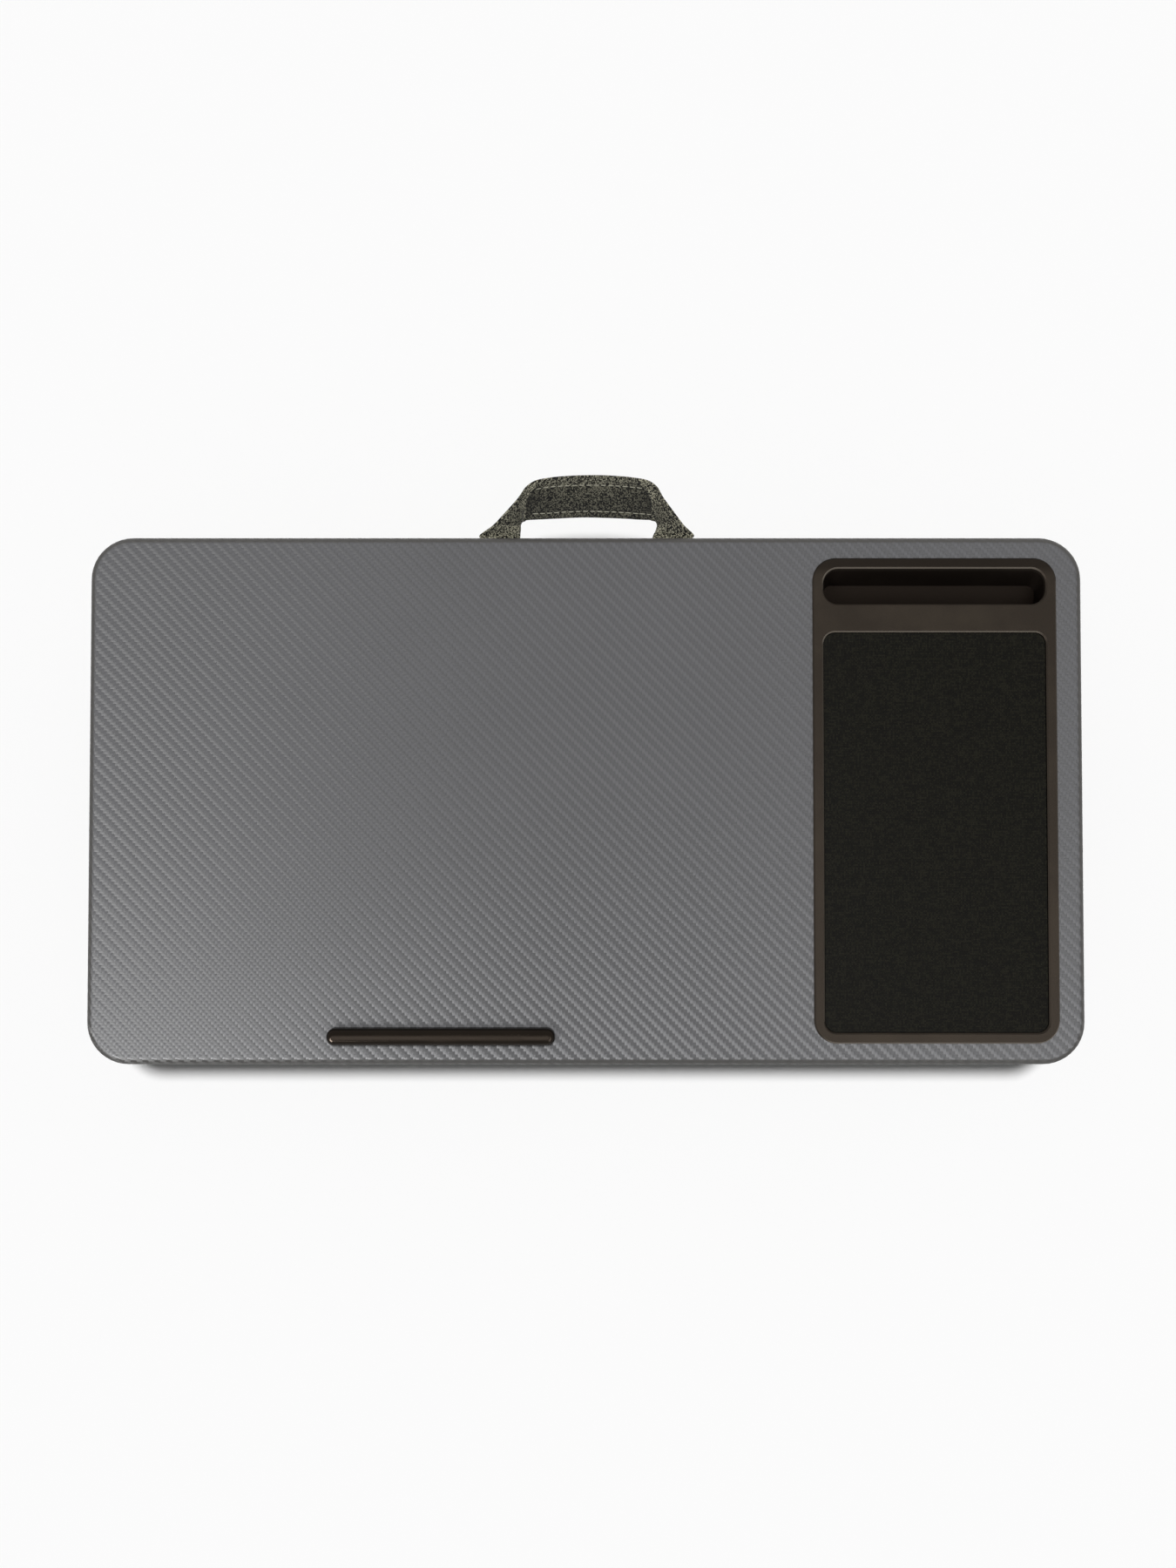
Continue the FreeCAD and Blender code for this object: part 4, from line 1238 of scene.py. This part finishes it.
@dataclass
class CarryStrap:
    """Padded strap of folded cloth: two ends clamped under the board, two twists and a stitched grip.

    Attributes:
        half_outer: Half the span of the outer edge at the board, in metres.
        half_inner: Half the span of the inner edge at the board.
        reach: How far the strap stands out from its hinge line.
        rise: How far it rises above that line.
        tab: Length of a clamped end.
        edge: Half the thickness at an unpadded place.
        steps: Rings between two stations.
        stitch_length: Length of a stitch.
        stitch_pitch: Distance from one stitch to the next.
        thread: Radius of the thread.
        thread_sides: Sides of the thread.
        width: Width of the grip, to which the hems are cut.
        inner_row: Distance of one row of stitches from the inner edge.
        outer_row: Distance of the other row from the outer edge.
        row_height: Half the thickness of the strap under a row.
        sway: How far the grip leans to the right.
        fold: Height of the fold where the strap turns into the grip.
        fold_station: Station at which the fold lies, at the inner edge.
        fold_run: Length over which it rises.
        fold_straight: Share of the width, from the inner edge, over which it runs straight across.
        fold_bend: How far it curves towards the middle of the grip at the outer hem.
        pocket: Length of the hollow in the grip beside the fold, and of the painted shade in it.
        pocket_depth: Depth of the hollow.
        crease: Width of the painted shade of a crease beside the fold.
        wrinkle: Height of the wrinkles.
        wrinkle_length: Spacing of the wrinkles.
        bend_before: How far before the hinge line the strap begins to bend.
        bend_after: How far behind it the bend ends.
    """

    half_outer: float = 60 * MM
    half_inner: float = 38 * MM
    reach: float = 32.6 * MM
    rise: float = 18 * MM
    tab: float = 26 * MM
    edge: float = 0.88 * MM
    steps: int = 8
    stitch_length: float = 3.0 * MM
    stitch_pitch: float = 4.1 * MM
    thread: float = 0.3 * MM
    thread_sides: int = 6
    width: float = 24 * MM
    inner_row: float = 3.7 * MM
    outer_row: float = 5.6 * MM
    row_height: float = 0.62 * MM
    sway: float = 3.7 * MM
    fold: float = 1.6 * MM
    fold_station: int = 7
    fold_run: float = 6 * MM
    fold_straight: float = 0.45
    fold_bend: float = 10 * MM
    pocket: float = 9 * MM
    pocket_depth: float = 1.2 * MM
    crease: float = 1.4 * MM
    wrinkle: float = 0.5 * MM
    wrinkle_length: float = 11 * MM
    bend_before: float = 1.0 * MM
    bend_after: float = 1.6 * MM

    # Stations of a clamped end, as shares of its length in front of the hinge line
    TAB_SHARES = (1, 0.5, 0.12)
    # Edges of the strap from its root to the middle of the grip: x, y and z of the outer edge, then of
    # the inner one, as shares of half the span of that edge, of the reach and of the rise
    EDGE_SHARES = (
        ((1.035, 0.02, 0), (1.01, 0.02, 0), 0),
        ((0.92, 0.164, 0.22), (1.025, 0.09, -0.08), 0),
        ((0.8, 0.37, 0.5), (1.035, 0.16, -0.19), 0),
        ((0.69, 0.58, 0.73), (1.035, 0.221, -0.03), 0.1),
        ((0.6, 0.79, 0.9), (0.97, 0.255, 0.19), 0.25),
        ((0.43, 0.9, 0.97), (0.763, 0.255, 0.33), 1),
        ((0, 0.945, 1), (0, 0.276, 0.44), 1),
    )
    # Half thickness of the padded strap, in millimetres, at distances from its inner and outer edge
    INNER_HEM = (
        (0, 0.35), (0.5, 0.8), (1.9, 1.0), (3.2, 0.8), (3.7, 0.55), (4.2, 0.85), (5.6, 1.5), (8.4, 2.05)
    )
    OUTER_HEM = (
        (10, 2.1), (7.6, 1.75), (6.2, 0.95), (5.6, 0.6), (5, 0.85), (3, 1.1), (0.8, 0.9), (0, 0.35)
    )
    CROWN_MM = 2.2
    # Painted light and shade on the cloth: how bright it is on the legs, the outer hem and the grip, where 1
    # is as woven, the painted highlight along the fold, and the painted shade in the hollow and in the crease
    LEG_LIGHT = 1.05
    HEM_LIGHT = 0.85
    FOLD_HIGHLIGHT = 0.15
    GRIP_SHADE = 0.46
    POCKET_SHADE = -0.28
    CREASE_SHADE = -0.1
    # Shares of a stitch that are straight, and that dive at each end, and how thin it is there
    STITCH_STRAIGHT = 0.6
    STITCH_DIVE = 0.2
    STITCH_TIP = 0.6
    # Crown from which the strap is stitched
    SEWN_CROWN = 0.5

    def stations(self) -> list[Ring]:
        """Place the sections that shape the strap, from its left end to its right one.

        Returns:
            The sections, in the row frame.
        """
        spans = (self.half_outer, self.half_inner)
        left = []
        for share in self.TAB_SHARES:
            ends = [HINGE + Vector((-span, -share * self.tab, 0)) for span in spans]
            left.append(Ring(*ends, 0))
        for *edges, crown in self.EDGE_SHARES:
            ends = []
            for (x, y, z), span in zip(edges, spans):
                ends.append(HINGE + Vector((-x * span, y * self.reach, z * self.rise)))
            left.append(Ring(*ends, crown))
        flip = Matrix.Diagonal((-1, 1, 1))
        right = [Ring(flip @ ring.outer, flip @ ring.inner, ring.crown) for ring in left[-2::-1]]
        stations = left + right
        for ring in stations:
            for end in (ring.outer, ring.inner):
                end.x += self.sway * math.sqrt(max(0.0, end.y - HINGE.y) / self.reach)
        return stations

    @cached_property
    def rings(self) -> list[Ring]:
        """All the sections: the stations and smooth ones between them, with the length along the strap."""
        stations = self.stations()
        made = []
        for number in range(len(stations) - 1):
            picks = [stations[min(max(number + shift, 0), len(stations) - 1)] for shift in (-1, 0, 1, 2)]
            for step in range(self.steps):
                share = step / self.steps
                outer = curve_point([ring.outer for ring in picks], share)
                inner = curve_point([ring.inner for ring in picks], share)
                crown = picks[1].crown + (picks[2].crown - picks[1].crown) * share
                made.append(Ring(outer, inner, crown))
        made.append(stations[-1])
        for before, ring in zip(made, made[1:]):
            ring.along = before.along + (ring.middle - before.middle).length
        for ring in made:
            ring.from_end = min(ring.along, made[-1].along - ring.along)
        return made

    def axes(self, number: int) -> tuple[Vector, Vector]:
        """Directions across the strap at a section, and out of its under face.

        Args:
            number: Which section.

        Returns:
            Two unit vectors.
        """
        ring = self.rings[number]
        before = self.rings[max(number - 1, 0)].middle
        after = self.rings[min(number + 1, len(self.rings) - 1)].middle
        across = (ring.outer - ring.inner).normalized()
        return across, across.cross(after - before).normalized()

    def wrinkle_at(self, place: Vector, ring: Ring) -> float:
        """Height of the wrinkles at a place of a section."""
        return noise.noise(place / self.wrinkle_length) * self.wrinkle * ring.crown

    def fold_at(self, ring: Ring, distance: float, in_hem: bool) -> tuple[float, float]:
        """Shape the cloth about the fold, which curves into the outer hem, and paint its light and shade.

        Before the fold the cloth rises towards it, with a painted highlight along it. Past it the grip has a
        hollow, with painted shade in it and in a crease.

        Args:
            ring: Section of the point.
            distance: Its distance from the inner edge.
            in_hem: Whether it lies in the outer hem.

        Returns:
            How far the over face stands out there, and the painted light and shade of the cloth.
        """
        bend = max(0.0, distance / ring.width - self.fold_straight) / (1 - self.fold_straight)
        fold = self.rings[self.fold_station * self.steps].from_end + self.fold_bend * bend * bend
        past = ring.from_end - fold
        # Painted highlight along the fold and painted light on the legs; past it painted shade on the grip,
        # in the hollow and in the crease
        if past <= 0:
            rise = max(0.0, 1 + past / self.fold_run)
            return rise * rise * self.fold, self.LEG_LIGHT + rise * self.FOLD_HIGHLIGHT
        hollow = math.exp(-past / self.pocket) * math.sin(math.pi * distance / ring.width)
        crease = math.exp(-((past / self.crease) ** 2))
        grip_shading = self.GRIP_SHADE + hollow * self.POCKET_SHADE + crease * self.CREASE_SHADE
        return -hollow * self.pocket_depth, self.HEM_LIGHT if in_hem else grip_shading

    def section(self, number: int) -> list[tuple[Vector, float, float]]:
        """Outline of one section, over the top from the inner edge and back underneath.

        Args:
            number: Which section.

        Returns:
            Points of the outline, each with its distance from the inner edge and the painted light and shade
            of its cloth.
        """
        ring = self.rings[number]
        width = ring.width
        across, normal = self.axes(number)
        cut = MM * min(1.0, width / self.width)
        places = [(distance * cut, half) for distance, half in self.INNER_HEM]
        places.append((width / 2, self.CROWN_MM))
        places += [(width - distance * cut, half) for distance, half in self.OUTER_HEM]
        over = []
        under = []
        for distance, half in places:
            flat = min(half * MM, self.edge)
            thickness = flat + (half * MM - flat) * ring.crown
            centre = ring.inner + across * distance
            wrinkle = self.wrinkle_at(centre, ring)
            lip, wear = self.fold_at(ring, distance, distance > width - self.outer_row * cut / MM)
            top = centre + normal * (Face.OVER.value * (thickness + lip) + wrinkle)
            bottom = centre + normal * (Face.UNDER.value * thickness + wrinkle)
            over.append((top, distance, wear))
            under.append((bottom, distance, 1.0))
        return over + under[::-1]

    def build_band(self) -> Object:
        """Extrude the band section by section, with the weave laid along it.

        Returns:
            The band.
        """
        outlines = [self.section(number) for number in range(len(self.rings))]
        points = len(outlines[0])
        circle = bpy.ops.mesh.primitive_circle_add
        band = add_primitive(circle, "carry_strap_band", vertices=points, fill_type="NGON")
        turn = band.data.attributes.new("turn", "INT", "POINT")
        turn.data.foreach_set("value", list(range(points)))
        for name in ("along", "across", PAINTED_SHADING_LAYER):
            band.data.attributes.new(name, "FLOAT", "POINT")
        bpy.ops.object.mode_set(mode="EDIT")
        bpy.ops.mesh.select_mode(type="VERT")
        bpy.ops.mesh.select_all(action="SELECT")
        for number, outline in enumerate(outlines):
            if number:
                bpy.ops.mesh.extrude_region()
            shape = bmesh.from_edit_mesh(band.data)
            layers = shape.verts.layers
            for vertex in shape.verts:
                if vertex.select:
                    place, distance, wear = outline[vertex[layers.int["turn"]]]
                    vertex.co = place
                    vertex[layers.float["along"]] = self.rings[number].along
                    vertex[layers.float["across"]] = distance
                    vertex[layers.float[PAINTED_SHADING_LAYER]] = wear
            bmesh.update_edit_mesh(band.data)
        bpy.ops.mesh.select_all(action="SELECT")
        bpy.ops.mesh.normals_make_consistent(inside=False)
        bpy.ops.object.mode_set(mode="OBJECT")
        apply_modifier(band, "SUBSURF", levels=1, render_levels=1)
        along, across = (band.data.attributes[name].data for name in ("along", "across"))
        layer = band.data.uv_layers.new(name=WEAVE_MAP)
        for corner, loop in enumerate(band.data.loops):
            layer.data[corner].uv = (along[loop.vertex_index].value, across[loop.vertex_index].value)
        return band

    def build_stitch(self) -> Object:
        """Model one stitch: a short thread that tapers where it dives into the cloth.

        Returns:
            The stitch, along +X about the origin.
        """
        stitch = add_primitive(
            bpy.ops.mesh.primitive_cylinder_add,
            "stitch",
            vertices=self.thread_sides,
            radius=self.thread,
            depth=self.stitch_length * self.STITCH_STRAIGHT,
            rotation=(0, math.pi / 2, 0),
        )
        for sign in (-1, 1):
            choose(stitch, Element.FACE, looking(Vector((sign, 0, 0))))
            dive = (sign * self.stitch_length * self.STITCH_DIVE, 0, -self.thread)
            bpy.ops.mesh.extrude_region_move(TRANSFORM_OT_translate={"value": dive})
            bpy.ops.transform.resize(value=(1, self.STITCH_TIP, self.STITCH_TIP))
            bpy.ops.object.mode_set(mode="OBJECT")
        return stitch

    def stitch_places(self, inner: bool, face: Face) -> list[Matrix]:
        """Where the stitches of one row lie.

        Args:
            inner: Whether the row runs along the inner edge.
            face: Face of the strap.

        Returns:
            A matrix for each stitch.
        """
        line = []
        for number, ring in enumerate(self.rings):
            if ring.crown < self.SEWN_CROWN:
                continue
            across, normal = self.axes(number)
            cut = min(1.0, ring.width / self.width)
            distance = self.inner_row * cut if inner else ring.width - self.outer_row * cut
            centre = ring.inner + across * distance
            lift = face.value * (self.row_height + self.thread / 2) + self.wrinkle_at(centre, ring)
            line.append((centre + normal * lift, normal * face.value))
        places = []
        travelled = self.stitch_pitch
        for (start, out), (end, _) in zip(line, line[1:]):
            run = end - start
            while travelled <= run.length:
                along = run.normalized()
                side = out.cross(along).normalized()
                turned = Matrix((along, side, along.cross(side))).transposed().to_4x4()
                places.append(Matrix.Translation(start + along * travelled) @ turned)
                travelled += self.stitch_pitch
            travelled -= run.length
        return places

    def build(self) -> None:
        """Make the band, let it bend at the hinge line, and sew two rows of stitches on both its faces."""
        band = self.build_band()
        finish_piece(band, STRAP_CLOTH, None, CLOTH_ANGLE)
        start = HINGE - Vector((0, self.bend_before, 0))
        end = HINGE + Vector((0, self.bend_after, 0))
        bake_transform(band, TRAY_BODY, HANDLE_BODY, start=start, end=end)
        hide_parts("handle_strap", "handle_padding", "handle_tab_left", "handle_tab_right")
        places = []
        for face in Face:
            for inner in (True, False):
                places += self.stitch_places(inner, face)
        stitches = copy_to(places, self.build_stitch(), "carry_strap_stitches")
        finish_piece(stitches, THREAD, HANDLE_BODY)


# The screws


@dataclass
class Screws:
    """Pan-head screws with a cross recess, driven in from below.

    Attributes:
        head: Radius of the head, in metres.
        head_height: Height of the head.
        head_round: Share of the head's height that is rounded.
        round_segments: Faces across that round.
        shank: Radius of the shank.
        tip: Radius of the tip, as a share of the shank's.
        recess_arm: Length of the cross recess.
        recess_width: Width of its arms.
        recess_depth: Its depth.
        sides: Sides of the round.
        slack: How much wider than a head the points of one screw may lie apart.
    """

    head: float = 3 * MM
    head_height: float = 1.8 * MM
    head_round: float = 0.45
    round_segments: int = 3
    shank: float = 1.5 * MM
    tip: float = 0.15
    recess_arm: float = 3.4 * MM
    recess_width: float = 0.8 * MM
    recess_depth: float = 1.1 * MM
    sides: int = 24
    slack: float = 1.01

    GROUPS = ("panel_screws", "tray_screws", "laptop_stop_screws", "handle_tab_screws")

    def places(self, group: str) -> list[Matrix]:
        """Find where the screws of a group stand.

        Args:
            group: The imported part.

        Returns:
            A matrix for each screw, to the middle of its lowest face.
        """
        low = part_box(group)[0].z
        reach = 2 * self.head * self.slack
        bunches = []
        for vertex in frame["nodes"][group].data.vertices:
            near = [bunch for bunch in bunches if (bunch[0].xy - vertex.co.xy).length < reach]
            if near:
                near[0].append(vertex.co)
            else:
                bunches.append([vertex.co])
        found = []
        for bunch in bunches:
            xs = [place.x for place in bunch]
            ys = [place.y for place in bunch]
            middle = ((min(xs) + max(xs)) / 2, (min(ys) + max(ys)) / 2, low)
            found.append(Matrix.Translation(middle))
        return found

    def build_one(self, length: float) -> Object:
        """Model one screw that stands on its head at the origin.

        Args:
            length: Length of the whole screw.

        Returns:
            The screw.
        """
        screw = add_primitive(
            bpy.ops.mesh.primitive_cylinder_add,
            "screw",
            vertices=self.sides,
            radius=self.head,
            depth=self.head_height,
            location=(0, 0, self.head_height / 2),
        )
        bevel_edges(screw, level_at(0.0), self.head_height * self.head_round, self.round_segments)
        choose(screw, Element.FACE, looking(Vector((0, 0, 1))))
        bpy.ops.mesh.inset(thickness=self.head - self.shank)
        for run in (length - self.head_height - self.shank, self.shank):
            bpy.ops.mesh.extrude_region_move(TRANSFORM_OT_translate={"value": (0, 0, run)})
        bpy.ops.transform.resize(value=(self.tip, self.tip, 1))
        bpy.ops.object.mode_set(mode="OBJECT")
        for arm in ((self.recess_arm, self.recess_width), (self.recess_width, self.recess_arm)):
            corner = Vector((arm[0] / 2, arm[1] / 2, self.recess_depth))
            cutter = add_box("recess", -corner, corner)
            apply_modifier(screw, "BOOLEAN", object=cutter, operation="DIFFERENCE", solver="EXACT")
            bpy.data.objects.remove(cutter)
        return screw

    def build(self) -> None:
        """Put a copy of the screw at each place, one piece for each group."""
        for group in self.GROUPS:
            low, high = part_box(group)
            screw = self.build_one(high.z - low.z)
            piece = copy_to(self.places(group), screw, f"{group}_cross_recess")
            finish_piece(piece, SCREW_STEEL, TRAY_BODY)
            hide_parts(group)


# Floor, light and camera


def seen_by_eye(put: Put) -> Node:
    """Tell the rays that the eye sees, straight, in a mirror or through glass, from those that light things.

    Args:
        put: Adds a node to the material.

    Returns:
        Node that gives 1 for the rays that the eye sees.
    """
    ray = put("ShaderNodeLightPath")
    straight = put(MATH, ray.outputs["Is Camera Ray"], ray.outputs["Is Glossy Ray"], operation="ADD")
    return put(MATH, straight, ray.outputs["Is Transmission Ray"], operation="ADD", use_clamp=True)


def hang(content: bpy.types.Light | bpy.types.Camera, place: Vector, direction: Vector) -> Object:
    """Hang up a lamp or a camera.

    Args:
        content: What is hung up.
        place: Where it hangs.
        direction: Where it looks.

    Returns:
        The object that holds it.
    """
    holder = bpy.data.objects.new(content.name, content)
    holder.location = place
    holder.rotation_euler = direction.to_track_quat("-Z", "Y").to_euler()
    bpy.context.collection.objects.link(holder)
    return holder


@dataclass(frozen=True)
class Softbox:
    """Lamp that is seen only in gloss.

    Attributes:
        name: Name of the lamp.
        place: Where it hangs, in metres.
        aim: Point that it faces.
        size: Its width and height.
        power: Its power in watts.
    """

    name: str
    place: tuple[float, float, float]
    aim: tuple[float, float, float]
    size: tuple[float, float]
    power: float

    def build(self) -> None:
        """Hang the lamp."""
        lamp = bpy.data.lights.new(self.name, "AREA")
        lamp.shape = "RECTANGLE"
        lamp.size, lamp.size_y = self.size
        lamp.energy = self.power
        place = Vector(self.place)
        holder = hang(lamp, place, Vector(self.aim) - place)
        holder.visible_diffuse = False


@dataclass
class Studio:
    """White floor, soft light from above and a camera that looks straight down.

    Attributes:
        distance: From the camera to the board's top face along its axis, in metres.
        elevation: Height of the camera above the horizon, in degrees.
        aim_x: Where the camera's axis meets the board, to the right of the middle.
        aim_y: Where it meets the board, away from the user.
        view_height: Height of the picture at the board's top face.
        sensor: Taller side of the camera's sensor in millimetres.
        floor_size: Width of the floor.
        floor_colour: Colour of its paper.
        floor_glow: Light that the floor adds for the eye, so that it is white where no shadow falls.
        sky: Strength of the sky as a light.
        key: Strength of the main light, which comes from high behind.
        key_height: Height at which it hangs.
        key_lean: How far it leans back from upright, in degrees.
        key_spread: How wide it looks, in degrees, which softens the shadow's edge.
    """

    distance: float = 0.7
    elevation: float = 88.6
    aim_x: float = 1.2 * MM
    aim_y: float = -8.6 * MM
    view_height: float = 889.5 * MM
    sensor: float = 36.0
    floor_size: float = 14.0
    floor_colour: str = "#f4f4f4"
    floor_glow: float = 0.02
    sky: float = 0.11
    key: float = 3.08
    key_height: float = 2.0
    key_lean: float = 17.0
    key_spread: float = 9.0

    SOFTBOXES = (
        Softbox("left_softbox", place=(-0.9, -0.8, 1.3), aim=(0, 0, 0), size=(0.6, 0.6), power=62.0),
        Softbox("stop_strip", place=(-0.2, -0.37, 1.3), aim=(-0.2, 0, 0), size=(0.7, 0.16), power=1.6),
        Softbox("low_front_strip", place=(-0.2, -2.2, 0.4), aim=(-0.2, 0, 0), size=(2.4, 0.6), power=3.0),
        Softbox("right_softbox", place=(0.7, -0.7, 1.3), aim=(0, 0, 0), size=(0.8, 0.8), power=13.0),
    )

    def build_floor(self) -> None:
        """Lay the floor: pale, and a little brighter to the eye than its light makes it."""
        floor = add_primitive(bpy.ops.mesh.primitive_plane_add, "floor", size=self.floor_size)
        material = bpy.data.materials.new("white_paper_floor")
        material.use_nodes = True
        tree = material.node_tree
        put = partial(add_node, tree)
        shader = tree.nodes["Principled BSDF"]
        paper = {"Base Color": linear(self.floor_colour), "Roughness": 1.0, "Specular IOR Level": 0.0}
        for name, value in paper.items():
            feed(tree, shader.inputs[name], value)
        dark, glow = (put(EMISSION, named={"Strength": strength}) for strength in (0.0, self.floor_glow))
        extra = put("ShaderNodeMixShader", seen_by_eye(put), dark, glow)
        both = put("ShaderNodeAddShader", shader, extra)
        feed(tree, tree.nodes["Material Output"].inputs["Surface"], both)
        floor.data.materials.append(material)
        floor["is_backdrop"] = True

    def build_world(self) -> None:
        """Dim sky that looks white to the eye."""
        world = bpy.data.worlds.new("studio")
        world.use_nodes = True
        tree = world.node_tree
        put = partial(add_node, tree)
        background = tree.nodes["Background"]
        feed(tree, background.inputs["Color"], (1, 1, 1, 1))
        feed(tree, background.inputs["Strength"], put(MIX, seen_by_eye(put), self.sky, 1.0))
        bpy.context.scene.world = world

    def build_key(self) -> None:
        """Set the main light, which gloss doesn't show: even all over, with a short soft shadow in front."""
        lamp = bpy.data.lights.new("key", "SUN")
        lamp.energy = self.key
        lamp.angle = math.radians(self.key_spread)
        holder = hang(lamp, Vector((0, 0, self.key_height)), Vector((0, 0, -1)))
        holder.rotation_euler = (-math.radians(self.key_lean), 0, 0)
        holder.visible_glossy = False

    def build_camera(self) -> None:
        """Set the camera above the board, leaning a little to the front."""
        lean = math.radians(self.elevation)
        back = Vector((0, -math.cos(lean), math.sin(lean)))
        aim = Vector((self.aim_x, self.aim_y, FILM_TOP))
        camera = bpy.data.cameras.new("camera")
        camera.sensor_width = self.sensor
        camera.lens = self.sensor * self.distance / self.view_height
        bpy.context.scene.camera = hang(camera, aim + back * self.distance, -back)

    def build(self) -> None:
        """Set up the floor, the sky, the lamps and the camera."""
        self.build_floor()
        self.build_world()
        self.build_key()
        for softbox in self.SOFTBOXES:
            softbox.build()
        self.build_camera()
        bpy.context.scene.view_settings.view_transform = "Standard"


def main() -> None:
    """Build every sub-assembly, then work out how large the object has become."""
    logging.basicConfig(level=logging.INFO, format="%(name)s: %(message)s")
    for assembly in (Board(), MouseTray(), LaptopStop(), Bolsters(), CarryStrap(), Screws(), Studio()):
        assembly.build()
        LOG.info("%s is in place", type(assembly).__name__)
    boxes = {"cad": CAD_BOX, "visual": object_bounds()}
    {name: [list(corner) for corner in box] for name, box in boxes.items()}


if __name__ == "__main__":
    main()
